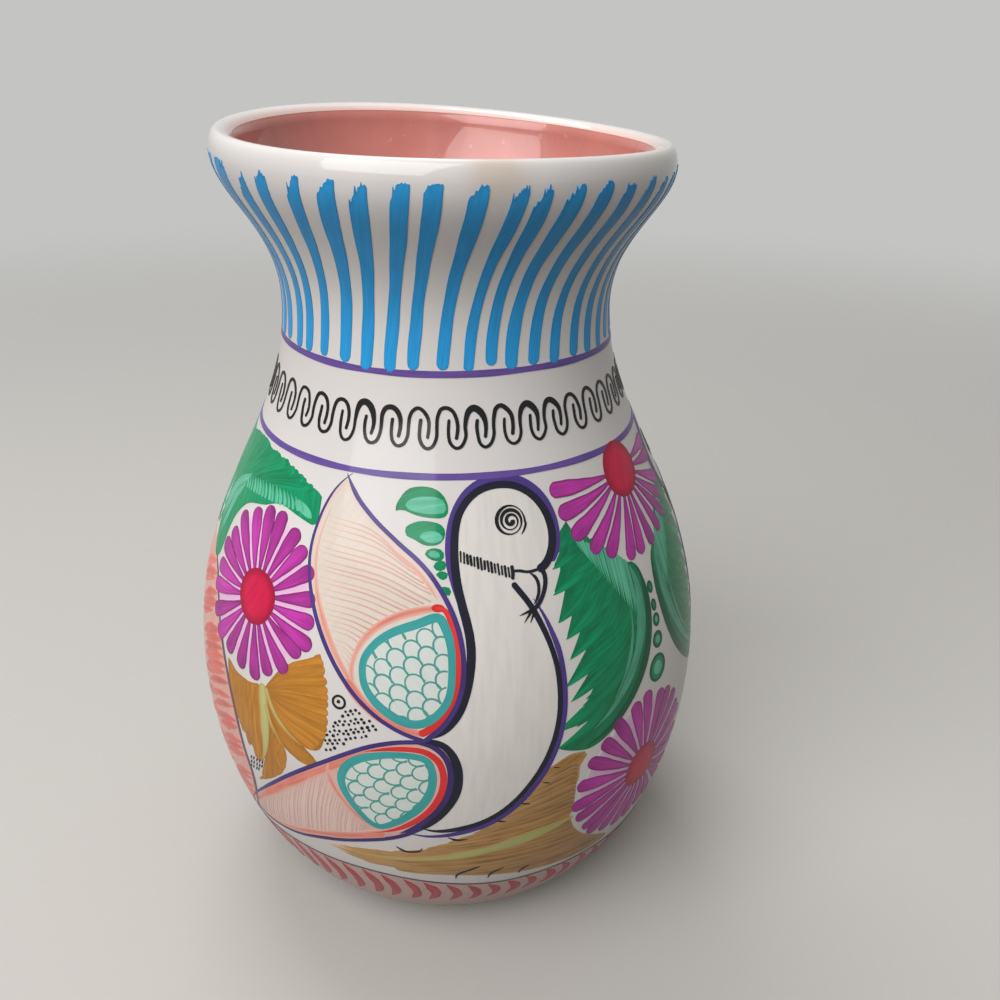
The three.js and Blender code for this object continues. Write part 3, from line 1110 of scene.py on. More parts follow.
# Blue stripes on the neck: degrees round at the foot and at the top of each, its
# ends up the wall, and its width at the top, for those that the photograph shows
STRIPES = (
    (-65, -61, 197, 245.5, 4.6),
    (-56.5, -52, 196.5, 244, 4.4),
    (-50.5, -43.5, 196.5, 246, 4.2),
    (-42.7, -34, 196.8, 247, 4),
    (-33.7, -25.5, 196.6, 248, 4.8),
    (-26, -18.2, 195.6, 246.8, 4.6),
    (-18, -9.3, 195.6, 247.8, 4.4),
    (-10.7, -2.4, 196.6, 248.2, 4.3),
    (-1.6, 6.6, 196.8, 246.4, 4.4),
    (6.2, 15.4, 196.4, 246, 3.8),
    (13.3, 20.7, 197.6, 245.8, 4.2),
    (19.8, 28.4, 196.2, 246.4, 4.9),
    (27.6, 36.4, 196.6, 246.2, 4.6),
    (35.6, 44.4, 196, 245.6, 4.4),
    (44.4, 52.8, 196.6, 245.4, 4.4),
    (52.2, 60.6, 196.2, 245.6, 4.4),
)
STRIPE_GAP = 8.2


class VASE_OT_neck_stripes(bpy.types.Operator):
    """Blue brush stripes round the flared neck"""

    bl_idname = "vase.neck_stripes"
    bl_label = "Neck stripes"

    def execute(self, context):
        work = Brushwork(OUTLINE)
        vary = random.Random(4).uniform
        stripes = list(STRIPES)
        turn = STRIPES[-1][0] + STRIPE_GAP
        while turn < STRIPES[0][0] + 360 - STRIPE_GAP / 2:
            stripes.append((
                turn,
                turn + vary(7.4, 8.8),
                vary(195.8, 197.2),
                vary(245, 248),
                vary(3.9, 4.8),
            ))
            turn += STRIPE_GAP * vary(0.96, 1.04)
        for number, stripe in enumerate(stripes):
            self.add_stripe(work, number, *stripe)
        work.piece("neck_stripes", "blue_stripes")
        return {"FINISHED"}

    def add_stripe(self, work, number, foot, top, low, high, wide):
        """One stripe: a round wet foot, a leaning body and a dry, slanted top."""
        chance = random.Random(100 + number)
        slant = chance.uniform(0.8, 3.4)
        run = np.concatenate([(0, 0.12, 0.35, 0.75, 1.3), np.linspace(2.0, high - low, 22)])
        ups = low + run
        share = run / run[-1]
        lean = foot + (top - foot) * (0.7 * smoothstep(share, 0.02, 1.02) + 0.3 * share)
        lean = lean + wander(len(share), 0.16, number + 40)
        scale = work.wall.mm_per_degree(ups)
        width = wide * (0.66 + 0.08 * hump(share, 0.16, 0.14) + 0.34 * smoothstep(share, 0.35, 0.9))
        width = width * (1 + wander(len(share), 0.05, number))
        round_foot = np.sqrt(np.clip(1 - (1 - np.clip(run / (wide * 0.3), 0, 1)) ** 2, 0.1, 1))
        half = width * round_foot / 2
        left = np.stack([lean - half / scale, ups], axis=1)
        right = np.stack([lean + half / scale, ups], axis=1)
        left = left[ups < high - slant]
        corners = (left[-1], right[-1])
        spikes = []
        count = chance.randint(4, 7)
        peak = chance.uniform(0.45, 0.85)
        height = chance.uniform(1.2, 2.6)
        for k in range(2 * count - 1):
            at = (k + chance.uniform(0.75, 1.25)) / (2 * count)
            spot = corners[0] + (corners[1] - corners[0]) * at
            roof = height * min(at / peak, (1 - at) / (1 - peak)) ** 0.8
            if k % 2 == 0:
                rise = roof + chance.choice((0.2, 0.5, 0.9, 1.9))
            else:
                rise = roof - chance.uniform(0.1, 0.8)
            spikes.append((spot[0], spot[1] + rise))
        ring = np.vstack([right, np.array(spikes)[::-1], left[::-1]])
        own_tone = chance.uniform(-0.06, 0.06)
        # The stripes are painted lighter towards their foot: partly paint that pooled there, partly painted
        # shade that darkens them higher up under the flared lip.
        tone = lambda places: 0.5 + 0.22 * (1 - smoothstep(places[:, 1], 200, 216)) + own_tone
        work.fill(ring, grain=80, spacing=1.0, tone=tone)


RING_UPS = (195.5, 169.9)
RING_WIDTH = 1.7
MEANDER_GAP = 8.15
MEANDER_MIDDLE = 182.3

# One stroke of the meander: from inside one bend, round it and over the next
MEANDER_STROKE = (
    (0.6, 184.4), (0.4, 182.4), (0.4, 180.2), (1, 178.2), (2.5, 177.2), (4.2, 177.9), (5.2, 180),
    (5.3, 182.4), (5.5, 184.8), (6.4, 186.6), (8, 187.2), (9.7, 186.4), (10.9, 184.6), (11.2, 182.2),
    (10.7, 179.4),
)
# Strokes with a heavy bend, counted round from the front, and how heavy
HEAVY_STROKES = {
    40: 1.75, 41: 1.35, 0: 1.75, 1: 1.2, 2: 1.8, 3: 1.5, 9: 1.6, 16: 1.7, 17: 1.3, 25: 1.6, 33: 1.7,
}


class VASE_OT_rings(bpy.types.Operator):
    """Purple rings round the shoulder and the looping line between them"""

    bl_idname = "vase.rings"
    bl_label = "Rings and meander"

    def execute(self, context):
        rings = Brushwork(OUTLINE)
        for seed, up in enumerate(RING_UPS):
            turns = np.arange(0, 360, 1.0)
            radians = np.radians(turns)
            middle = up + 0.28 * np.sin(radians + 2.4 + seed) + 0.16 * np.sin(3 * radians + seed)
            half = RING_WIDTH / 2 + 0.11 * np.sin(11 * radians) * np.sin(3 * radians)
            rings.band(turns, middle - half, middle + half)
        rings.piece("purple_rings")

        meander = Brushwork(PEN)
        count = round(360 / MEANDER_GAP)
        vary = random.Random(11).uniform
        for k in range(count):
            start = k * 360 / count - 0.4
            stretch = vary(0.94, 1.06)
            path = []
            for turn, up in MEANDER_STROKE:
                lift = (up - MEANDER_MIDDLE) * stretch
                turn = start + turn + vary(-0.12, 0.12)
                path.append((turn, MEANDER_MIDDLE + lift + vary(-0.12, 0.12)))
            thin = vary(0.72, 0.9)
            heavy = HEAVY_STROKES.get(k, thin * 1.15)
            width = lambda share, thin=thin, heavy=heavy: thin + (heavy - thin) * hump(share, 0.72, 0.15)
            meander.stroke(smooth_path(path), width, step=0.45)
        meander.piece("meander")
        return {"FINISHED"}


# The dove, as lines on the wall
HEAD_LINE = (
    (-4.4, 102.6), (-1.4, 104.4), (0.8, 107.8), (2.4, 112.4), (3.5, 118), (4.1, 124), (4, 129),
    (3.4, 133.4), (2.5, 138), (1.7, 142.6), (1.2, 147.4), (1.1, 152), (1.4, 156.6), (2.4, 160.6),
    (4.4, 163.8), (7.2, 166.1), (10.4, 167.2), (13.6, 167.4), (16.8, 166.8), (19.8, 165.2), (22.4, 162.6),
    (24.2, 159.2), (25, 155.2), (24.7, 151.4), (23.6, 148.2), (21.9, 145.8), (19.8, 144.5),
)
HEAD_OUTER_LINE = (
    (2.9, 133.6), (1.9, 138.4), (0.9, 143.2), (0.1, 148.2), (-0.2, 153.2), (0.2, 158.2), (1.5, 162.2),
    (3.9, 165.6), (7.2, 167.9), (11, 169), (15, 169), (18.8, 167.9), (22.3, 165.3), (24.8, 161.6),
    (26.1, 157), (26.1, 152.6), (25.2, 149), (23.4, 146.2),
)
BREAST_LINE = (
    (13.7, 142.4), (15.2, 139.8), (16.6, 137.2), (17.8, 134.4), (18.9, 131.2), (19.9, 127.8), (20.8, 124),
    (21.6, 119), (21.9, 113.4), (21.8, 107.8), (21.2, 102.2), (20, 96.4), (18.1, 90.6), (15.6, 85.2),
    (12.6, 80.2), (9.2, 76.2), (5.8, 73.7), (2.4, 72.2), (-0.8, 71.3), (-3.6, 71.2), (-5.8, 72),
)
BREAST_OUTER_LINE = (
    (14.6, 142.8), (16.4, 140.4), (17.9, 137.8), (19.1, 135), (20.3, 131.6), (21.4, 127.4), (22.4, 122.6),
    (22.9, 117), (23, 110.8), (22.6, 104.2), (21.4, 97), (19.4, 90.4), (16.8, 84.6), (13.6, 79.2),
    (10.2, 75.2), (6.6, 72.4), (2.8, 70.6), (-1, 69.4), (-4.8, 68.9), (-8.4, 69.6),
)
BODY_CLOSING = ((-5.8, 72), (-3, 76), (-0.8, 82), (0.6, 90), (-0.6, 97), (-4.4, 102.6))
BEAK_LINE = ((20.2, 145.2), (21.2, 143.6), (21.2, 141.2), (20.5, 138.8), (19.3, 136.4), (17.9, 135))
BEAK_INNER_LINE = ((17.7, 144.4), (18.9, 143.2), (19.5, 141.4), (19.4, 139.2), (18.7, 137.2), (17.9, 136.2))
MOUTH_LINE = ((13.9, 145.4), (15.6, 145.2), (17.6, 144.6), (20, 144.8))
MOUTH_TICK = ((13.9, 146.9), (14, 145), (13.8, 143.2))
CHIN_TICKS = (
    ((17.8, 135), (14.5, 133.9)),
    ((17.5, 135), (15.4, 131.9)),
    ((18.2, 135.2), (16.7, 131.6)),
)
EYE = (14.6, 157.9)
EYE_RADIUS = 4.0
EYE_TURNS = 3.1
EYE_TAIL = ((18.6, 156.8), (17.9, 155.2), (17.1, 154.2))
CHIN = (18.8, 141)
CHEEK_TICKS = 15
CHEEK_START = (2.5, 150.0)
CHEEK_END = (13.1, 145.2)
CHEEK_TICK_LENGTH = 2.9


class VASE_OT_dove(bpy.types.Operator):
    """The white dove: body, outlines, beak, eye and cheek"""

    bl_idname = "vase.dove"
    bl_label = "Dove"

    def execute(self, context):
        self.add_body()
        self.add_outlines()
        self.add_pen_lines()
        return {"FINISHED"}

    def add_body(self):
        work = Brushwork(WASH)
        lines = [smooth_path(line) for line in (HEAD_LINE, BREAST_LINE, BODY_CLOSING)]
        ring = np.vstack([lines[0], [CHIN], lines[1][1:], lines[2][1:-1]])
        for side in SIDES:
            work.fill(side(ring), grain=88, spacing=2.2)
        work.piece("dove_body", "dove_white")

    def add_outlines(self):
        purple = Brushwork(OVERPAINT)
        navy = Brushwork(OUTLINE)
        uneven = lambda share: (
            1.3 + 0.95 * smoothstep(share, 0.0, 0.12)
            - 0.4 * smoothstep(share, 0.3, 0.6) + 0.45 * smoothstep(share, 0.75, 0.93)
        )
        narrowing = lambda share: 2.0 - 0.85 * hump(share, 0.38, 0.1)
        for side in SIDES:
            purple.line(side, HEAD_OUTER_LINE, narrowing, tips=RISING, taper=14)
            purple.stroke(side(smooth_path(BREAST_OUTER_LINE)[8:]), 1.5, tips="pointed", taper=14)
            navy.line(side, HEAD_LINE, uneven)
            navy.line(side, BREAST_LINE, 1.5, tips=FADING)
            navy.line(side, BEAK_LINE, 1.15, step=0.6)
            navy.line(side, BEAK_INNER_LINE, 0.85, tips="pointed", taper=2, step=0.6)
            navy.line(side, MOUTH_LINE, 0.75, step=0.6)
            navy.line(side, MOUTH_TICK, 0.9, step=0.5)
        purple.piece("dove_outer_lines", "dove_purple")
        navy.piece("dove_outlines", "dove_navy")

    def add_pen_lines(self):
        work = Brushwork(PEN)
        scale = float(work.wall.mm_per_degree(EYE[1]))
        for number, side in enumerate(SIDES):
            vary = random.Random(30 + number).uniform
            share = np.linspace(0, 1, 110)
            radius = 0.3 + (EYE_RADIUS - 0.3) * share ** 0.85
            angle = 2 * math.pi * EYE_TURNS * (1 - share) - 0.1
            spiral = []
            for r, a in zip(radius, angle):
                turn, up = around((0, 0), r + 0.12 * math.sin(a + 1), a, scale)
                spiral.append((EYE[0] + turn + 0.5 * (1 - r / EYE_RADIUS), EYE[1] + 1.04 * up))
            tail = smooth_path([spiral[-1], *EYE_TAIL])
            pen = lambda share: 0.62 + 0.32 * np.sin(2 * math.pi * EYE_TURNS * share + 0.6)
            work.stroke(side(np.vstack([spiral, tail[1:]])), pen, tips=FADING, taper=3, step=0.4)
            pupil = circle((EYE[0] + 0.7, EYE[1] - 0.3), 0.62, 14, scale)
            work.fill(side(pupil), grain=90, spacing=0.6)
            start, end = np.array(CHEEK_START), np.array(CHEEK_END)
            for k in range(CHEEK_TICKS):
                middle = start + (end - start) * k / (CHEEK_TICKS - 1)
                half = CHEEK_TICK_LENGTH / 2 * vary(0.85, 1.15)
                lean = vary(-0.02, 0.12)
                tick = [(middle[0] - lean, middle[1] + half), (middle[0] + lean, middle[1] - half)]
                work.stroke(side(tick), vary(0.42, 0.66), step=0.5)
            for tick in CHIN_TICKS:
                work.stroke(side(tick), 0.8, tips=FADING, taper=3.2, step=0.5)
        work.piece("dove_pen_lines", "dove_black")


# Upper wing
UPPER_WING_LEFT = (
    (-26, 169), (-28.6, 166.4), (-30.6, 163.4), (-32.1, 159.6), (-33, 155.4), (-33.5, 150.8), (-33.3, 146),
    (-32.4, 141.4), (-31.2, 137.2), (-29.4, 132.2), (-27, 126.6), (-24.2, 121), (-21, 115.6),
    (-17.5, 110.8), (-13.5, 106.7), (-9.4, 103.7), (-5, 101.6),
)
UPPER_WING_RIGHT = (
    (-27.6, 168.6), (-25.5, 165.6), (-23, 162.6), (-20, 159.8), (-17, 157.2), (-14, 154.8), (-11, 152.3),
    (-8, 149.8), (-5.5, 147.2), (-3.5, 144.4), (-1.6, 141), (-0.1, 137.6), (1.1, 134), (2, 130),
    (2.5, 125.6), (2.6, 121), (2.2, 116.4), (1.2, 112), (-0.2, 108.4), (-2, 105.2), (-5, 101.6),
)
UPPER_ARCH = (
    (-2.4, 137.2), (-6, 136.6), (-10.4, 134.9), (-14.4, 132.1), (-17.4, 128.2), (-19.2, 123.6),
    (-19.8, 118.8), (-18.8, 114), (-16.4, 110),
)
ARCH_FOOT = ((-20.9, 116.6), (-17.4, 111.2), (-13.2, 107.2), (-9.2, 104.8), (-5.6, 103.4))
UPPER_RED = (
    (-2.9, 137.2), (-1, 136.6), (0.3, 133.2), (1.1, 128.4), (1.4, 122), (1, 116.6), (0, 112), (-2, 107.8),
    (-4.2, 104.9), (-6, 103.5),
)
UPPER_BLOT = ((-3.9, 137.4), (-3, 138.2), (-1.6, 138), (-1, 137), (-2, 136.2), (-3.4, 136.4))
UPPER_TEAL = (
    (-2.4, 135.2), (-6.6, 133.4), (-11.4, 131), (-14.9, 127.8), (-17.3, 123.4), (-17.7, 119.2),
    (-16.8, 114.8), (-14.2, 110.6), (-10.6, 107.4), (-7.2, 106), (-4.2, 107), (-1.6, 110.2), (0, 114.4),
    (0.5, 120.2), (0.4, 127), (-0.6, 132),
)

# Lower wing
LOWER_WING_TOP = (
    (-5, 101.4), (-10.6, 100.6), (-16, 98.2), (-21, 94.4), (-26, 89.8), (-31, 84.8), (-36, 79.2), (-41, 73),
    (-46, 66.6), (-51, 60), (-56.5, 52),
)
LOWER_WING_BOTTOM = (
    (-6, 72.2), (-9.4, 69), (-13.4, 66.4), (-18.4, 64), (-24, 61.2), (-30, 58.4), (-36.4, 55),
    (-43.4, 52.4), (-50, 51), (-56.5, 52),
)
LOWER_WING_RIGHT = (
    (-5, 101.6), (-2, 100.8), (0, 98), (1.1, 94), (1.3, 89.6), (0.7, 84.8), (-0.9, 80), (-3.2, 75.6),
    (-6.4, 71.8), (-9.8, 68.8),
)
LOWER_PURPLE = (
    (-7, 101), (-3.8, 100.2), (-1.6, 97.8), (-0.4, 94.2), (-0.1, 90), (-0.6, 85.4), (-2, 80.6),
    (-4.2, 76.4), (-7.2, 72.4), (-10.6, 69.4),
)
LOWER_RED = (
    (-17, 96.6), (-12, 98.4), (-7.6, 98.9), (-4.6, 98.1), (-2.4, 95.4), (-1.5, 91.4), (-1.7, 86.6),
    (-3, 81.8), (-5.4, 77.2), (-8.6, 73.2), (-12.2, 70.2), (-15.6, 68.4),
)
LOWER_DIVIDER = ((-24.6, 90.8), (-24.9, 86.8), (-23.4, 81.6), (-21, 76.8), (-18, 72.2), (-15.6, 69.4))
LOWER_TEAL = (
    (-21.9, 88.2), (-20.4, 91.8), (-17, 95), (-12, 96.9), (-7.4, 97.2), (-4.5, 96), (-3.5, 93),
    (-3.4, 88.4), (-4.5, 83.4), (-6.6, 79), (-9.4, 75.2), (-12.6, 72), (-14.8, 70.8), (-16.8, 72),
    (-19, 75.6), (-21.2, 80.6), (-22.2, 84.8),
)
SCALE_RADIUS = 2.35
SCALE_ROW = 3.9
SCALE_LEANS = (126.0, 196.0)


class VASE_OT_wings(bpy.types.Operator):
    """Both wings: washes, hatching, coral borders, teal rings and scales"""

    bl_idname = "vase.wings"
    bl_label = "Wings"

    def execute(self, context):
        upper = joined(smooth_path(UPPER_WING_RIGHT), smooth_path(UPPER_WING_LEFT)[::-1])
        lower = joined(
            smooth_path(LOWER_WING_RIGHT)[:-4],
            smooth_path(LOWER_WING_BOTTOM),
            smooth_path(LOWER_WING_TOP)[::-1],
        )
        wash = Brushwork(GROUND)
        low_wash = Brushwork(GROUND)
        for side in SIDES:
            wash.fill(side(upper), grain=60, spacing=2.0)
            low_wash.fill(side(lower), grain=50, spacing=2.0)
        wash.piece("wing_wash", "wing_peach")
        low_wash.piece("low_wing_wash", "wing_pink")
        self.add_hatching()
        self.add_borders()
        self.add_teal_and_scales()
        self.add_outlines()
        return {"FINISHED"}

    def add_hatching(self):
        """Fine curved lines over the pale part of each wing."""
        work = Brushwork(BODY_COLOUR)
        pale = Brushwork(BODY_COLOUR)
        starts = (
            (-30.6, 158), (-31.4, 152), (-31, 145), (-29.6, 139), (-27.4, 133), (-25, 127), (-22.6, 121.6),
        )
        ends = (
            (-10.6, 149.6), (-7.2, 145.6), (-3.6, 139.6), (-7, 137.6), (-12, 134.8), (-16.4, 130),
            (-19, 124.4), (-20.2, 118.6),
        )
        low_starts = (
            (-17.4, 71), (-20.8, 77.6), (-23.8, 84.6), (-25.8, 88), (-30, 83), (-36, 76), (-42, 68.6),
            (-49, 59.4),
        )
        low_ends = ((-18.4, 67.2), (-25, 64.2), (-31, 61.4), (-37, 58.4), (-43, 55.6), (-48, 54), (-54, 52.6))
        for number, side in enumerate(SIDES):
            fine = {"tips": RISING, "taper": 12, "step": 0.7}
            work.fan(
                side, starts, ends, 24, 0.42, 50 + number, tones=(0.8, 1.0), fade=-0.85, bend=(0.58, 0.2),
                **fine,
            )
            pale.fan(
                side, low_starts, low_ends, 40, 0.8, 54 + number, tones=(0.2, 0.8), bend=(0.62, 0.5),
                **fine,
            )
        work.piece("wing_hatching")
        pale.piece("low_wing_hatching", "wing_pale_lines")

    def add_borders(self):
        """Coral borders inside the outlines, and their bright red edges."""
        coral = Brushwork(OVERPAINT - 0.01)
        red = Brushwork(OVERPAINT + 0.005)
        inner_left = [(turn + 1.8, up - 0.4) for turn, up in UPPER_WING_LEFT[3:-2]]
        inner_right = [(turn - 1.0, up - 1.7) for turn, up in UPPER_WING_RIGHT[5:11]]
        inner_top = [(turn + 0.5, up - 1.8) for turn, up in LOWER_WING_TOP[2:]]
        inner_bottom = [(turn - 0.2, up + 2.0) for turn, up in LOWER_WING_BOTTOM[2:-1]]
        # Piece of work, places, width, tips, taper, wobble and tone of each stroke
        strokes = (
            (coral, inner_left, ramp(0.9, 1.7), "pointed", 30, 0.16, ease(1.0, -0.6, 0.3, 1.0)),
            (coral, inner_right, ramp(0.9, 1.7), "pointed", 14, 0.2, ramp(0.9, -0.4)),
            (coral, UPPER_ARCH, ramp(1.9, -0.5), FADING, 10, 0.25, ramp(0.3, 0.5)),
            (coral, ARCH_FOOT, 3.1, "round", None, 0.15, 0.4),
            (coral, inner_top, 3.4, FADING, 30, 0.2, 0.5),
            (coral, inner_bottom, 3.1, FADING, 40, 0.2, 0.55),
            (coral, LOWER_DIVIDER, 1.6, "pointed", 6, 0.2, 0.3),
            (red, UPPER_RED, ramp(1.3, 0.9), "round", None, 0.1, ease(0.85, -0.45, 0.3, 0.7)),
            (red, LOWER_RED, swelling(1.1, 0.8), "pointed", 10, 0.1, ramp(0.4, 0.35)),
        )
        for side in SIDES:
            for work, places, width, tips, taper, wobble, tone in strokes:
                work.line(side, places, width, tips=tips, taper=taper, wobble=wobble, tone=tone)
            red.fill(side(closed_path(UPPER_BLOT)), grain=10, spacing=0.7)
        coral.piece("wing_borders", "wing_coral")
        red.piece("wing_red_edges", "wing_red")

    def add_teal_and_scales(self):
        """A teal ring on each wing, with a pale ground and rows of scales in it."""
        teal = Brushwork(OUTLINE - 0.005)
        pale = Brushwork(OUTLINE - 0.02)
        scales = Brushwork(OUTLINE)
        for number, side in enumerate(SIDES):
            for seed, (line, lean) in enumerate(zip((UPPER_TEAL, LOWER_TEAL), SCALE_LEANS)):
                ring = side(closed_path(line))
                ring = ring + 0.025 * (ring.mean(axis=0) - ring)
                pale.fill(ring, grain=lean, spacing=2.0)
                widths = lambda share: 2.15 + 0.25 * np.sin(4 * math.pi * share + 1)
                teal.stroke(ring, widths, closed=True, wobble=0.05)
                self.add_scales(scales, ring, flipped(lean, number), 70 + 10 * number + seed)
        pale.piece("scale_ground")
        teal.piece("teal_rings")
        scales.piece("wing_scales")

    def add_scales(self, work, ring, lean, seed):
        """Rows of small arches that bulge the way the feathers lie, cut off by the ring."""
        vary = random.Random(seed).uniform
        scale = float(work.wall.mm_per_degree(ring[:, 1].mean()))
        middle = ring.mean(axis=0)
        flat = (ring - middle) * (scale, 1)
        turn = math.radians(lean - 90)
        axes = np.array(((math.cos(turn), math.sin(turn)), (-math.sin(turn), math.cos(turn))))
        level = flat @ axes.T
        low, high = level.min(axis=0), level.max(axis=0)
        for row, up in enumerate(np.arange(low[1] - 1.5, high[1], SCALE_ROW)):
            shift = SCALE_RADIUS * (row % 2)
            for across in np.arange(low[0] - shift, high[0] + SCALE_RADIUS, 2 * SCALE_RADIUS):
                centre = (across + vary(-0.25, 0.25), up + vary(-0.25, 0.25))
                radius = SCALE_RADIUS * vary(0.94, 1.06)
                angle = np.linspace(0, math.pi, 16)
                arch = np.stack(
                    [centre[0] + radius * np.cos(angle), centre[1] + 1.2 * radius * np.sin(angle)], axis=1,
                )
                legs = [(arch[0, 0] - 0.15, arch[0, 1] - 0.9), (arch[-1, 0] + 0.15, arch[-1, 1] - 0.9)]
                arch = np.vstack([legs[:1], arch, legs[1:]])
                within = inside(level, arch) & (edge_distance(level, arch) > 0.6)
                self.add_runs(work, (arch @ axes) / (scale, 1) + middle, within, vary(0.42, 0.56))

    def add_runs(self, work, path, within, wide):
        """Strokes along those stretches of a path that are kept."""
        edges = np.flatnonzero(np.diff(np.concatenate([[0], within.astype(int), [0]])))
        for first, last in zip(edges[::2], edges[1::2]):
            if last - first > 3:
                work.stroke(path[first:last], wide, step=0.5)

    def add_outlines(self):
        """Purple and navy outlines of the wings."""
        purple = Brushwork(OUTLINE + 0.01)
        navy = Brushwork(OUTLINE + 0.005)
        fading = ease(0.75, -0.5, 0.2, 0.8)
        thick = lambda share: 1.7 + 0.9 * np.sin(math.pi * np.clip(share * 1.1, 0, 1)) ** 2
        # Piece of work, places, width, tips, taper and tone of each stroke
        strokes = (
            (purple, UPPER_WING_LEFT, ease(0.65, 0.55, 0.1, 0.6), RISING, 10, fading),
            (purple, UPPER_WING_RIGHT, ramp(1.1, 0.3), RISING, 5, fading),
            (purple, LOWER_WING_TOP, 1.2, FADING, 30, 0.25),
            (purple, LOWER_WING_BOTTOM, 1.3, FADING, 40, 0.0),
            (purple, LOWER_PURPLE, 1.6, "pointed", 6, 0.0),
            (navy, LOWER_WING_RIGHT, thick, FADING, 8, 0.5),
        )
        for side in SIDES:
            for work, places, width, tips, taper, tone in strokes:
                work.line(side, places, width, tips=tips, taper=taper, tone=tone)
        purple.piece("wing_purple_lines", "wing_purple")
        navy.piece("wing_navy_lines", "wing_navy")


# Daisies: centre, radius of the heart, outer radius, number of petals, and the
# angles in degrees between which petals are painted
SIDE_DAISY = ((-46.4, 129.6), 7.7, 23.8, 22, 1, 361)
BACK_DAISY = ((BACK_AXIS, 127.0), 7.8, 24.5, 22, 0, 360)
TOP_DAISY = ((54, 162.6), 7.9, 26, 14, 178, 362)
LOW_DAISY = ((45.8, 73.6), 7.4, 25, 24, 1, 361)
PETAL_GAP = 1.0
PETAL_HALF_WIDTH = 2.35


class VASE_OT_daisies(bpy.types.Operator):
    """Magenta daisies with crimson hearts"""

    bl_idname = "vase.daisies"
    bl_label = "Daisies"

    def execute(self, context):
        blush = Brushwork(GROUND + 0.005)
        petals = Brushwork(OUTLINE)
        hearts = Brushwork(PEN + 0.01)
        centre, *rest = SIDE_DAISY
        across = mirrored([centre])[0]
        daisies = (SIDE_DAISY, (tuple(across), *rest), TOP_DAISY, LOW_DAISY, BACK_DAISY)
        for number, daisy in enumerate(daisies):
            self.add_daisy(blush, petals, hearts, number, *daisy)
        blush.piece("daisy_blush")
        petals.piece("daisy_petals")
        hearts.piece("daisy_hearts")
        return {"FINISHED"}

    def add_daisy(self, blush, petals, hearts, number, centre, heart, radius, count, first, last):
        vary = random.Random(200 + number).uniform
        whole = last - first == 360
        scale = float(petals.wall.mm_per_degree(centre[1]))
        steps = count if whole else count - 1
        spacing = math.radians(last - first) / steps
        tips = []
        for k in range(count):
            angle = math.radians(first) + spacing * k + vary(-0.035, 0.035)
            reach = radius * (vary(0.96, 1.03) + 0.07 * math.cos(angle - 2.7))
            self.add_petal(petals, centre, angle, spacing, heart * 0.8, reach, scale, vary)
            tips.append(around(centre, reach * 0.93, angle, scale))
        if whole:
            blush.fill(np.array(tips), grain=30, spacing=2.2)
        ring = []
        for angle in np.linspace(0, 2 * math.pi, 40, endpoint=False):
            ring.append(around(centre, heart * (1 + 0.02 * math.sin(3 * angle + number)), angle, scale))
        hearts.fill(np.array(ring), grain=60, spacing=1.2)

    def add_petal(self, work, centre, angle, spacing, near, far, scale, vary):
        """One petal: it widens as the gaps to its neighbours allow, and ends round."""
        cap = PETAL_HALF_WIDTH * vary(0.92, 1.06)
        bend = vary(-0.06, 0.06)
        cap_steps = far - np.array((1.1, 0.7, 0.4, 0.15, 0.0))
        distance = np.concatenate([np.linspace(near, far - 1.6, 12), cap_steps])
        half = np.minimum(distance * spacing / 2 - PETAL_GAP / 2, cap)
        half = half * np.sqrt(np.clip(1 - ((distance - far + cap).clip(0) / cap) ** 2, 0.002, 1))
        half = np.maximum(half, 0.2 * (distance < far - 1))
        path = [around(centre, d, angle + bend * (d - near) / far, scale) for d in distance]
        run = (distance - distance[0]) / (far - distance[0])
        glow = vary(0.45, 0.85)
        root = lambda share: 0.15 * (1 - smoothstep(share, 0.0, 0.25))
        tone = lambda share: glow - 0.3 * smoothstep(share, 0.6, 1.0) - root(share)
        work.stroke(
            np.array(path), lambda share: 2 * np.interp(share, run, half), tips="cut", step=0.55, tone=tone,
        )


# Green leaves
HIGH_LEAF_TOP = (
    (-33.4, 157.6), (-33.8, 161.4), (-36.4, 162.8), (-38.6, 162.5), (-40.6, 164), (-42.4, 163.8),
    (-44.4, 165.4), (-46.4, 164.8), (-48.6, 166.6), (-51, 166), (-54.2, 167.2), (-57.6, 166.8),
    (-61.8, 168.2), (-67, 168.4), (-73, 167.8), (-79.6, 166),
)
HIGH_LEAF_BOTTOM = (
    (-79.6, 166), (-79.8, 156), (-79, 146), (-76.4, 135), (-71.4, 128.8), (-67.8, 131.4), (-67, 137.6),
    (-66, 143.2), (-63.4, 147.8), (-60.2, 150.6), (-56.4, 152), (-52.4, 153.2), (-49.6, 154.6),
    (-46, 155.6), (-42, 155), (-37.4, 154), (-33.6, 153.6), (-33.4, 157.6),
)
BIG_LEAF_TEETH = (
    (29.4, 155.2), (26.6, 152.6), (24.6, 148.8), (26.2, 148.2), (23.4, 144), (25.8, 144.4), (22.6, 137.4),
    (25.8, 138.6), (22.9, 130), (26.6, 131.8), (24.2, 125.2), (28.4, 127.6), (24.6, 119.6), (29.8, 122.8),
    (23.2, 112.4), (30.2, 116.4), (24.2, 107.8), (31.4, 113), (26.4, 103.4), (20.9, 99.8), (27.6, 100.4),
    (33.4, 104.4), (29, 98.6), (21.2, 94.6),
)
BIG_LEAF_BACK = (
    (21.2, 94.6), (25, 92.4), (29.2, 91.4), (34.2, 93.8), (39.2, 99.2), (43.6, 106), (47, 114.6),
    (48.8, 122.6), (49, 130), (48.2, 135.4), (46.4, 138.2), (44.6, 138.8), (42.4, 141.6), (39.8, 143.8),
    (36.4, 145), (33.8, 147.8), (31.4, 149.6), (30.2, 153.2), (29.4, 155.2),
)
BIG_LEAF_TIPS = (2, 4, 6, 8, 10, 12, 14, 16, 19, 23)
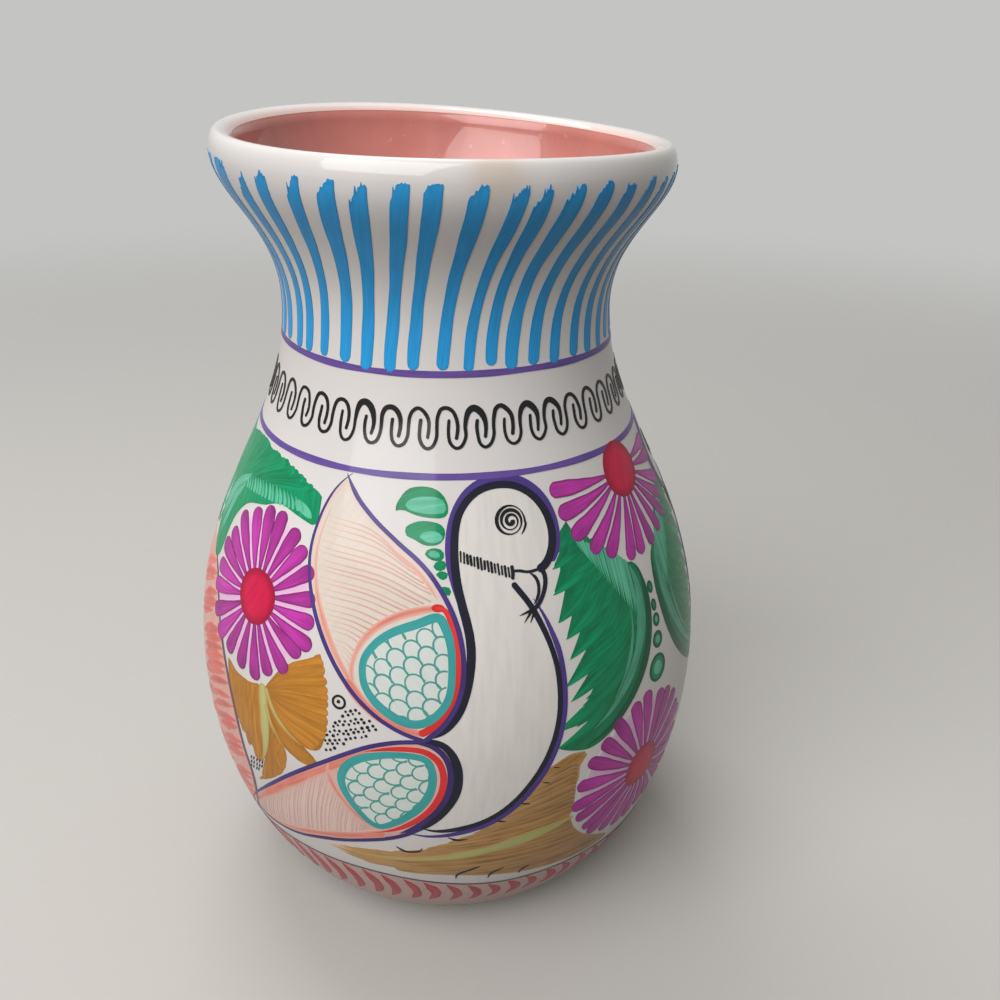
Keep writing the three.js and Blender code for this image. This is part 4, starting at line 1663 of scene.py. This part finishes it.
BIG_LEAF_SPINE = (
    (31, 152), (33.6, 150.2), (36.6, 148), (39.4, 145.4), (42, 142.4), (44, 138.6), (44.8, 133.6),
    (44.4, 126.8), (42.8, 119), (38.6, 109),
)
BIG_LEAF_DARK = (
    (46.8, 137.4), (48.3, 133), (48.5, 126), (47.2, 117.4), (44.4, 109.2), (40.2, 102), (34.6, 95.8),
    (28, 92.4),
)
BIG_LEAF_LIGHT = (
    (45, 138), (46, 131), (45.2, 122.4), (42.6, 113.8), (38.6, 106.4), (34, 100.6), (29.6, 97),
)
# Ovals: place round and up, half width and half height
OVALS = (
    (50.5, 128.8, 1.1, 1.7), (50.5, 123.4, 1, 1.7), (50.5, 119, 1.5, 1.9), (50, 113.2, 2.4, 2.5),
    (49.2, 104.8, 4.3, 4.3),
)
BUDS = (
    ((-12.9, 163.2), (-13.2, 161), (-11.4, 161.4), (-8, 160.2), (-4, 159.6), (-0.9, 160), (-0.2, 162.2),
     (-1.2, 165), (-3.6, 167), (-7, 167.5), (-10.6, 166.6)),
    ((-10.3, 157.2), (-10, 155), (-8.2, 154.2), (-5.6, 152.8), (-2.8, 153), (-1.2, 154.6), (-1.2, 157.2),
     (-3.4, 158.6), (-7.2, 158.8)),
    ((-5.6, 150.6), (-4, 149.2), (-1.8, 149), (-1.2, 150.6), (-2.2, 152), (-4.6, 152)),
    ((-3.6, 147.6), (-2.4, 146.4), (-0.8, 147.2), (-0.9, 148.8), (-2.6, 149)),
    ((-3, 145.6), (-1.6, 144.2), (-0.4, 145), (-0.6, 146.2), (-2.2, 146.4)),
    ((-2, 142.4), (-0.6, 140.2), (0.3, 141), (-0.2, 142.4)),
)
BUD_LIGHTS = (
    ((-10.9, 162.6), (-9, 161.2), (-4.6, 160.6), (-1.2, 161), (-0.8, 162.6), (-2.2, 164.6), (-6.4, 165),
     (-9.6, 164.2)),
    ((-6.9, 154.8), (-4.6, 153.4), (-2, 153.8), (-1.6, 155.2), (-3.4, 156.4), (-6.2, 156)),
    ((-4.8, 150.6), (-3.2, 149.6), (-2, 150.2), (-2.8, 151.4), (-4.2, 151.4)),
)


class VASE_OT_green_leaves(bpy.types.Operator):
    """Green leaves with light brush marks, and the small green buds"""

    bl_idname = "vase.green_leaves"
    bl_label = "Green leaves"

    def execute(self, context):
        leaves = Brushwork(BODY_COLOUR)
        lights = Brushwork(OVERPAINT)
        darks = Brushwork(OVERPAINT + 0.015)
        high = joined(np.array(HIGH_LEAF_TOP), smooth_path(HIGH_LEAF_BOTTOM))
        big = joined(np.array(BIG_LEAF_TEETH), smooth_path(BIG_LEAF_BACK))
        turned_high = mirrored(high, PANEL_AXIS)
        for number, side in enumerate(SIDES):
            leaves.fill(side(high), grain=flipped(100, number), spacing=1.8, tone=0.75)
            leaves.fill(side(turned_high), grain=flipped(80, number), spacing=1.8, tone=0.75)
            leaves.fill(side(big), grain=flipped(50, number), spacing=1.8, tone=0.22)
            turned = lambda places, side=side: side(mirrored(places, PANEL_AXIS))
            for seed, half in enumerate((side, turned)):
                self.add_high_marks(leaves, lights, half, number + 2 * seed)
            self.add_big_marks(leaves, lights, darks, side, number)
            for bud in BUDS:
                leaves.fill(side(closed_path(bud)), grain=20, spacing=1.2, tone=0.62)
            for bud in BUD_LIGHTS:
                lights.fill(side(closed_path(bud)), grain=10, spacing=1.2)
        for turn, up, wide, tall in OVALS:
            self.add_oval(leaves, lights, darks, turn, up, wide, tall)
        leaves.piece("green_leaves", "leaf_green")
        lights.piece("leaf_lights", "leaf_mint")
        darks.piece("leaf_darks", "leaf_dark")
        return {"FINISHED"}

    def add_high_marks(self, leaves, lights, side, seed):
        """The long strokes of the high leaf, and the short light ones on its lower half."""
        ends = ((-52, 158), (-60, 158), (-68, 154), (-74, 148), (-78, 140), (-79.4, 134))
        leaves.fan(
            side, HIGH_LEAF_TOP[2:-2], ends, 22, 2.6, 310 + seed, tones=(0.4, 1.0), bend=(0.5, 0.38),
            tips=FADING, taper=14,
        )
        lows = [(-37.6 - 1.75 * k, 155.8 - 0.085 * k * (1 + 0.06 * k)) for k in range(17)]
        highs = [
            (turn - 2.2, up + 3.0 + 1.4 * math.sin(math.pi * k / 16))
            for k, (turn, up) in enumerate(lows)
        ]
        lights.fan(
            side, lows, highs, 17, 1.15, 300 + seed, tones=(0.4, 0.9), fade=-0.4, bend=(0.35, 0.5),
            uneven=0.1, tips=FADING, taper=3, step=0.6,
        )
        blob = (
            (-35.2, 155), (-36, 156.6), (-38.2, 158), (-41.6, 158.4), (-41.4, 156.8), (-38.6, 155.4),
            (-36.4, 154.8),
        )
        lights.fill(side(closed_path(blob)), grain=150, spacing=1.1, tone=0.6)
        outer = ((-64, 158), (-65.4, 156), (-66.6, 153))
        inner = ((-80, 141), (-76, 137), (-71.6, 134))
        lights.fan(
            side, outer, inner, 6, 2.0, 306 + seed, tones=(0.1, 0.6), bend=(0.66, 0.4), tips="pointed",
            taper=9, wobble=0.2,
        )

    def add_big_marks(self, leaves, lights, darks, side, seed):
        """The strokes of the big leaf out to its teeth, the comb at its top, its back."""
        tips = [BIG_LEAF_TEETH[k] for k in BIG_LEAF_TIPS]
        inner = [(turn + 4.6, up + 2.4) for turn, up in tips]
        vary = random.Random(330 + seed).uniform
        leaves.fan(
            side, BIG_LEAF_SPINE, inner, 28, 2.5, 320 + seed, tones=(0.0, 0.66), fade=0.15,
            bend=(0.42, 0.6), taper=10, tips=FADING,
        )
        for start, end in zip(BIG_LEAF_SPINE, tips):
            start, end = np.array(start), np.array(end)
            start = start + (end - start) * vary(0.1, 0.35)
            path = smooth_path([start, start + (end - start) * (0.4, 0.58), end])
            bright = vary(0.75, 0.95)
            leaves.stroke(side(path), vary(2.8, 3.6), tips=FADING, taper=9, tone=ramp(0.3, bright - 0.3))
        crown = ((30.4, 151.4), (34, 148.2), (38, 145.6), (42, 142), (44.6, 139))
        foot = ((31.8, 146.6), (35.6, 139.6), (39.2, 132.6), (42.6, 126), (45, 122.6))
        lights.fan(
            side, crown, foot, 20, 0.8, 340 + seed, tones=(0.1, 0.7), fade=-0.1, bend=(0.4, 0.5),
            uneven=0.15, tips=FADING, taper=5, step=0.7,
        )
        lights.line(side, BIG_LEAF_LIGHT, ramp(4.4, -2.6), tips="pointed", taper=16, wobble=0.15, tone=0.0)
        beside = [(turn - 3.6, up - 3.0) for turn, up in BIG_LEAF_LIGHT[1:-2]]
        lights.line(side, beside, 1.3, tips="pointed", taper=14, wobble=0.3, tone=0.0)
        darks.line(side, BIG_LEAF_DARK, swelling(1.5, 1.3), tips="pointed", taper=12, tone=0.55)

    def add_oval(self, leaves, lights, darks, turn, up, wide, tall):
        """A small green oval with a dark edge and a light heart."""
        scale = float(leaves.wall.mm_per_degree(up))
        ring = circle((turn, up), wide, 20, scale, tall)
        middle = np.array((turn, up))
        leaves.fill(ring, grain=70, spacing=0.9)
        darks.stroke(middle + (ring - middle) * 0.88, 0.7, closed=True, step=0.5)
        if wide > 1.4:
            lights.fill(middle + (ring - middle) * 0.5, grain=70, spacing=0.8)


# Brown leaves
SIDE_LOBES = (
    ((-26.9, 121.4), (-25.8, 116), (-25.2, 109), (-24.8, 102.6), (-25.4, 97.4), (-26.4, 93.8),
     (-28.6, 92.5), (-31.4, 93.4), (-34.6, 95.8), (-37.8, 99.8), (-40.2, 105.2), (-37.6, 107.6),
     (-34.6, 111.2), (-31, 115.2), (-29, 119)),
    ((-40.4, 105), (-37.7, 99.9), (-34.6, 96), (-31.2, 93.2), (-29.2, 91.8), (-27.2, 89.2), (-28.6, 87.4),
     (-31, 87), (-34.4, 88.8), (-37.6, 93.2), (-40, 99.2)),
    ((-53.8, 107), (-50.4, 105), (-46, 104.6), (-42.2, 105.8), (-41.4, 101), (-41.2, 94), (-41.6, 87),
     (-42.4, 81), (-43.6, 79.4), (-45.4, 79.6), (-46, 84), (-47.2, 82), (-48, 86.8), (-49.2, 85.8),
     (-49.8, 91.6), (-51.4, 91), (-52.6, 96.6), (-53.6, 102)),
    ((-40.2, 99), (-37.4, 93), (-35.3, 88.5), (-35.5, 84), (-37, 80), (-39.8, 76.2), (-43, 73),
     (-46.2, 70.4), (-44.8, 72.6), (-42.6, 75.6), (-41.2, 80), (-40.8, 87)),
)
SIDE_LOBE_GRAINS = (60, 130, 82, 66)
# Fans of strokes: starts, ends, count, width, bend, tones and fade
SIDE_FANS = (
    (((-40.4, 106.2), (-40, 105.4), (-39.4, 103.6)),
     ((-26.4, 121), (-24.8, 114), (-24.4, 106), (-25, 98.4), (-28.2, 92.6)), 12, 3, (0.42, 0.58),
     (0.15, 0.6), 0.3),
    (((-40.2, 102), (-39.6, 99)), ((-28.6, 90.2), (-30.8, 88)), 3, 2.2, (0.36, 0.62), (0.15, 0.6), 0.3),
    (((-52.6, 105.6), (-48, 104.6), (-43, 105.2)), ((-51.4, 92.4), (-48.4, 86.4), (-43.4, 80.6)), 7, 2.7,
     (0.5, 0.5), (0.6, 1), -0.4),
    (((-40.4, 96), (-38.8, 93.6)), ((-44.8, 72), (-39.8, 77.4), (-36.2, 84.6)), 4, 2, (0.1, 0.5),
     (0.1, 0.5), 0.2),
)
SIDE_VEINS = (
    ((-41.2, 106.8), (-40.8, 100), (-40.7, 94), (-41, 88), (-41.7, 84), (-42.9, 80.2)),
    ((-40.2, 106), (-37.9, 100.1), (-34.7, 95.9), (-30.8, 93)),
    ((-40.2, 101), (-38.8, 95.6), (-36.6, 91.4), (-34.8, 89)),
)
LOW_LEAF = (
    (-22.4, 56.6), (-17.6, 58.4), (-13, 60), (-12, 61.4), (-6, 62.6), (-4.6, 64.4), (0.6, 65.8),
    (1.6, 68.2), (5.4, 69.8), (6, 72.4), (9.4, 74.2), (9.8, 77), (12.6, 78.6), (13.4, 82), (15.6, 83.4),
    (17, 87.4), (20.4, 89.8), (24, 91.6), (28, 90.2), (26.6, 86.4), (26.4, 81.8), (25, 77.6), (24.8, 72.6),
    (25.6, 68), (27.2, 62.6), (30.4, 57), (34.8, 52.4), (41, 46.4), (36, 44.4), (28, 44.8), (18, 46),
    (9, 48), (0, 50), (-6, 50.4), (-12, 51.2), (-12.8, 52.4), (-19, 52.6), (-20, 54.4),
)
LOW_VEIN = ((-22, 56.6), (-14, 57.4), (-4, 59), (6, 61.4), (16, 64.4), (26.4, 67.6))
# Fans of strokes: starts, ends, count and width
LOW_FANS = (
    (((26, 88), (26, 80), (26, 70)), ((17.4, 86.8), (12.6, 78.8), (5.4, 70.6), (-4, 64.6)), 12, 3.4),
    (((26, 66), (29, 58), (37, 48.4)), ((-8, 62.4), (-20, 57.4), (-15, 53.4), (0, 50.4)), 13, 3.2),
)
LOW_MARKS = (
    ((-11.6, 63.4), (-9.6, 61.6), (-6.8, 62.2), (-6.2, 63.6)),
    ((-0.8, 68.6), (0.8, 67.4), (3.2, 67.4)),
    ((8.8, 73.8), (11, 72.9)),
    ((13.8, 78.9), (15.8, 78.1)),
    ((18.2, 84.8), (19.8, 84)),
    ((20.4, 89), (21.8, 88.4)),
    ((0.8, 47.8), (1.2, 50.4), (3.6, 52.4), (6.2, 54)),
    ((8.2, 46.6), (8.8, 49.2), (11.6, 51.6)),
    ((15.6, 46), (16, 47.8), (17.8, 49.6)),
)


class VASE_OT_brown_leaves(bpy.types.Operator):
    """Ochre leaves with pale veins and short pen marks"""

    bl_idname = "vase.brown_leaves"
    bl_label = "Brown leaves"

    def execute(self, context):
        leaves = Brushwork(GROUND)
        low_leaves = Brushwork(GROUND)
        veins = Brushwork(OVERPAINT)
        marks = Brushwork(PEN)
        for number, side in enumerate(SIDES):
            for lobe, grain in zip(SIDE_LOBES, SIDE_LOBE_GRAINS):
                ring = side(self.ragged(closed_path(lobe), grain))
                leaves.fill(ring, grain=flipped(grain, number), spacing=1.6, tone=0.4)
            for seed, (starts, ends, count, width, bend, tones, fade) in enumerate(SIDE_FANS):
                leaves.fan(
                    side, starts, ends, count, width, 500 + 10 * number + seed, tones=tones, fade=fade,
                    bend=bend, tips=RISING, taper=14, wobble=0.1,
                )
            low_leaves.fill(
                side(self.ragged(closed_path(LOW_LEAF), 7)), grain=flipped(22, number), spacing=1.8,
                tone=0.6,
            )
            for seed, (starts, ends, count, width) in enumerate(LOW_FANS):
                low_leaves.fan(
                    side, starts, ends, count, width, 540 + 10 * number + seed, tones=(0.0, 0.7), fade=0.4,
                    bend=(0.5, 0.42), tips=FADING, taper=16, wobble=0.12,
                )
            faint_starts = ((-6, 61.6), (-8, 57), (-5, 52.4))
            faint_ends = ((-19, 59.8), (-28.4, 57), (-22, 53.8))
            low_leaves.fan(
                side, faint_starts, faint_ends, 9, 1.7, 560 + number, tones=(0.7, 0.9), fade=0.3,
                tips="pointed", taper=12, wobble=0.25,
            )
            for vein, broad in zip(SIDE_VEINS, (3.2, 1.5, 1.2)):
                veins.line(side, vein, broad, tips=FADING, taper=12, wobble=0.2, tone=ramp(0.7, -0.4))
            veins.line(
                side, LOW_VEIN, ease(1.2, 3.2, 0.1, 0.8), tips="pointed", taper=10, wobble=0.2,
                tone=ramp(0.5, -0.4),
            )
            for mark in LOW_MARKS:
                marks.line(side, mark, 0.6, tips="pointed", taper=2, step=0.5)
            vary = random.Random(90 + number).uniform
            for k in range(14):
                row, column = divmod(k, 5)
                turn = -47.4 - 0.4 * row + 1.0 * column + vary(-0.15, 0.15)
                up = 77.4 - 1.9 * row + 0.3 * column
                marks.stroke(side(((turn, up), (turn + 0.5, up + 1.3))), 0.38, step=0.4)
        self.add_back_leaf(leaves, veins)
        leaves.piece("brown_leaves", "leaf_ochre")
        low_leaves.piece("low_brown_leaves", "leaf_umber")
        veins.piece("leaf_veins")
        marks.piece("leaf_pen_marks", "leaf_pen")
        return {"FINISHED"}

    def ragged(self, ring, seed):
        """The edge as a dry brush leaves it."""
        shifts = [wander(len(ring), size, seed + k, 24) for k, size in enumerate((0.18, 0.22))]
        return ring + np.stack(shifts, axis=1)

    def add_back_leaf(self, leaves, veins):
        """Two brown leaves that rise under the daisy at the back."""
        for lean in (-1, 1):
            ring = [(BACK_AXIS + lean * across, up) for across, up in (
                (0.4, 52), (5, 58), (9, 68), (11, 80), (10, 90), (6, 97), (2.5, 93), (1, 84), (0.4, 70),
            )]
            leaves.fill(self.ragged(closed_path(ring), 40 + lean), grain=90 - 12 * lean, spacing=1.8)
            vein = [
                (BACK_AXIS + lean * across, up)
                for across, up in ((1.6, 58), (4.4, 70), (6, 82), (6, 91))
            ]
            veins.stroke(smooth_path(vein), 1.7, tips="pointed", taper=12, wobble=0.2)


DOT_FIELD = (
    (-25.6, 93.4), (-25, 99), (-23.6, 103.6), (-20.6, 107.6), (-18.6, 108.8), (-16, 106.6), (-14, 103.6),
    (-16.6, 101), (-20.6, 98), (-23.4, 95),
)
DOT_GAP = 1.5
RING_DOT = (-22.1, 109.7)


class VASE_OT_dots(bpy.types.Operator):
    """Pen dots between the wings, and the small ringed dot"""

    bl_idname = "vase.dots"
    bl_label = "Dots"

    def execute(self, context):
        work = Brushwork(PEN)
        scale = float(work.wall.mm_per_degree(101))
        field = np.array(DOT_FIELD) * (scale, 1)
        for number, side in enumerate(SIDES):
            vary = random.Random(60 + number).uniform
            low, high = field.min(axis=0), field.max(axis=0)
            for row, up in enumerate(np.arange(low[1], high[1] + 4, DOT_GAP * 0.9)):
                for across in np.arange(low[0], high[0], DOT_GAP):
                    sideways = across + 0.7 * (row % 2) + vary(-0.25, 0.25)
                    rise = up + 0.35 * (across - low[0]) - 3 + vary(-0.2, 0.2)
                    spot = np.array([(sideways, rise)])
                    if inside(field, spot)[0]:
                        self.add_dot(work, side, spot[0] / (scale, 1), vary(0.36, 0.52), scale)
            work.stroke(side(circle(RING_DOT, 1.75, 24, scale)), 0.6, closed=True, step=0.5)
            self.add_dot(work, side, np.array(RING_DOT) + (-0.1, 0.1), 0.55, scale)
        work.piece("pen_dots")
        return {"FINISHED"}

    def add_dot(self, work, side, place, radius, scale):
        work.fill(side(circle(place, radius, 12, scale)), grain=90, spacing=0.6)


# Right-hand edge of a coral panel
PANEL_EDGE = (
    (-71.6, 130.4), (-66.4, 127), (-62.6, 121.6), (-59.4, 115), (-56.4, 108), (-53.8, 100.6), (-51.4, 91),
    (-49.8, 80), (-48.6, 70), (-50.2, 61), (-53.2, 53), (-58, 45.8),
)
PANEL_TOP = 133.0
PANEL_FOOT = ((-68, 43.6), (PANEL_AXIS, 43.2), (-92, 43.4))
CRESCENT_GAP = 4.5
CRESCENT_ROWS = (47.0, 129.0)
CRESCENT_LOWEST = 44.4


class VASE_OT_coral_panels(bpy.types.Operator):
    """Two coral panels of stacked crescents, bounded by thin lines"""

    bl_idname = "vase.coral_panels"
    bl_label = "Coral panels"

    def execute(self, context):
        wash = Brushwork(WASH)
        marks = Brushwork(BODY_COLOUR)
        lines = Brushwork(OVERPAINT + 0.02)
        right = smooth_path(PANEL_EDGE)
        crown = np.array([(PANEL_AXIS, PANEL_TOP)])
        foot = np.array(PANEL_FOOT)
        left = mirrored(right, PANEL_AXIS)[::-1]
        ring = np.vstack([foot, left, crown, right])[::-1]
        for number, side in enumerate(SIDES):
            wash.fill(side(ring), grain=60, spacing=2.4)
            for half, edge in enumerate((right, mirrored(right, PANEL_AXIS))):
                lines.stroke(side(edge), 1.1, tips="pointed", taper=10, wobble=0.15)
                self.add_crescents(marks, side, half, number)
        wash.piece("panel_wash")
        marks.piece("panel_crescents", "panel_coral")
        lines.piece("panel_lines")
        return {"FINISHED"}

    def add_crescents(self, work, side, half, number):
        """Slanted strokes from each edge of the panel down towards its middle."""
        chance = random.Random(400 + 10 * number + half)
        edge = smooth_path(PANEL_EDGE)[::-1]
        for up in np.arange(*CRESCENT_ROWS, CRESCENT_GAP / 2):
            outer = float(np.interp(up, edge[:, 1], edge[:, 0])) - chance.uniform(0.2, 1.4)
            length = min(outer - PANEL_AXIS, chance.uniform(11.0, 15.0))
            drop = length * chance.uniform(0.58, 0.7)
            start = (outer - (outer - PANEL_AXIS - length) * chance.choice((0.0, 0.0, 0.0, 0.6)), up)
            end = (start[0] - length, max(up - drop, CRESCENT_LOWEST))
            path = [start, (start[0] - length * 0.5, up - drop * 0.42), end]
            if half:
                path = mirrored(path, PANEL_AXIS)
            wide = chance.uniform(2.0, 3.8)
            work.line(side, path, wide, tips="pointed", taper=7, wobble=0.2, tone=chance.uniform(0.15, 0.95))


BASE_LINE_UP = 42.3
BASE_LINE_RISE = 6.5
BASE_CRESCENT_GAP = 5.0
BASE_CRESCENT_LOW = 30.6
BASE_WASH_LOW = 8.0


def base_line(turn):
    """How far up the wall the thin line above the base band runs at an angle."""
    off = np.abs((turn + 30 + 180) % 360 - 180)
    return BASE_LINE_UP + BASE_LINE_RISE * (1 - smoothstep(off, 6, 46)) + 0.3 * np.sin(np.radians(3 * turn))


class VASE_OT_base_band(bpy.types.Operator):
    """Rose crescents round the base, and the thin line above them"""

    bl_idname = "vase.base_band"
    bl_label = "Base band"

    def execute(self, context):
        wash = Brushwork(WASH * 0.6)
        line = Brushwork(OVERPAINT + 0.02)
        marks = Brushwork(BODY_COLOUR)
        turns = np.arange(0, 360, 1.5)
        tops = base_line(turns)
        wash.band(turns, tops * 0 + BASE_WASH_LOW, tops)
        line.band(turns, tops - 0.3, tops + 0.3)
        vary = random.Random(77).uniform
        count = round(360 / BASE_CRESCENT_GAP)
        for k in range(count):
            turn = k * 360 / count + vary(-0.3, 0.3)
            top = float(base_line(turn)) - 0.8
            low = BASE_CRESCENT_LOW + vary(-0.8, 0.8)
            path = smooth_path((
                (turn - 1.5, top),
                (turn + 0.7, (top * 2 + low) / 3),
                (turn + 1.1, (top + low * 2) / 3),
                (turn - 0.9, low),
            ))
            wide = vary(2.3, 3.1)
            shape = lambda share, wide=wide: wide * np.sin(math.pi * (0.14 + 0.74 * share)) ** 0.45
            marks.stroke(path, shape, tips="pointed", taper=4, wobble=0.12)
        wash.piece("base_wash")
        line.piece("base_line")
        marks.piece("base_crescents")
        return {"FINISHED"}


OPERATORS = (
    VASE_OT_stage,
    VASE_OT_clay_body,
    VASE_OT_coats,
    VASE_OT_neck_stripes,
    VASE_OT_rings,
    VASE_OT_coral_panels,
    VASE_OT_base_band,
    VASE_OT_green_leaves,
    VASE_OT_brown_leaves,
    VASE_OT_dove,
    VASE_OT_wings,
    VASE_OT_daisies,
    VASE_OT_dots,
)


class VASE_PT_panel(bpy.types.Panel):
    """Sizes, colours and the steps that build the vase"""

    bl_idname = "VASE_PT_panel"
    bl_label = "Painted vase"
    bl_space_type = "VIEW_3D"
    bl_region_type = "UI"
    bl_category = "Vase"

    def draw(self, context):
        for group in (context.scene.vase_sizes, context.scene.vase_colours):
            box = self.layout.box()
            for name in group.__annotations__:
                box.prop(group, name)
        for operator in OPERATORS:
            self.layout.operator(operator.bl_idname)


CLASSES = (VaseSizes, VaseColours, *OPERATORS, VASE_PT_panel)


def register():
    for item in CLASSES:
        bpy.utils.register_class(item)
    bpy.types.Scene.vase_sizes = bpy.props.PointerProperty(type=VaseSizes)
    bpy.types.Scene.vase_colours = bpy.props.PointerProperty(type=VaseColours)


def unregister():
    del bpy.types.Scene.vase_colours
    del bpy.types.Scene.vase_sizes
    for item in reversed(CLASSES):
        bpy.utils.unregister_class(item)


def main():
    register()
    bpy.ops.vase.stage()
    bpy.ops.vase.clay_body()
    bpy.ops.vase.coats()
    bpy.ops.vase.neck_stripes()
    bpy.ops.vase.rings()
    bpy.ops.vase.coral_panels()
    bpy.ops.vase.base_band()
    bpy.ops.vase.green_leaves()
    bpy.ops.vase.brown_leaves()
    bpy.ops.vase.dove()
    bpy.ops.vase.wings()
    bpy.ops.vase.daisies()
    bpy.ops.vase.dots()


if __name__ == "__main__":
    main()
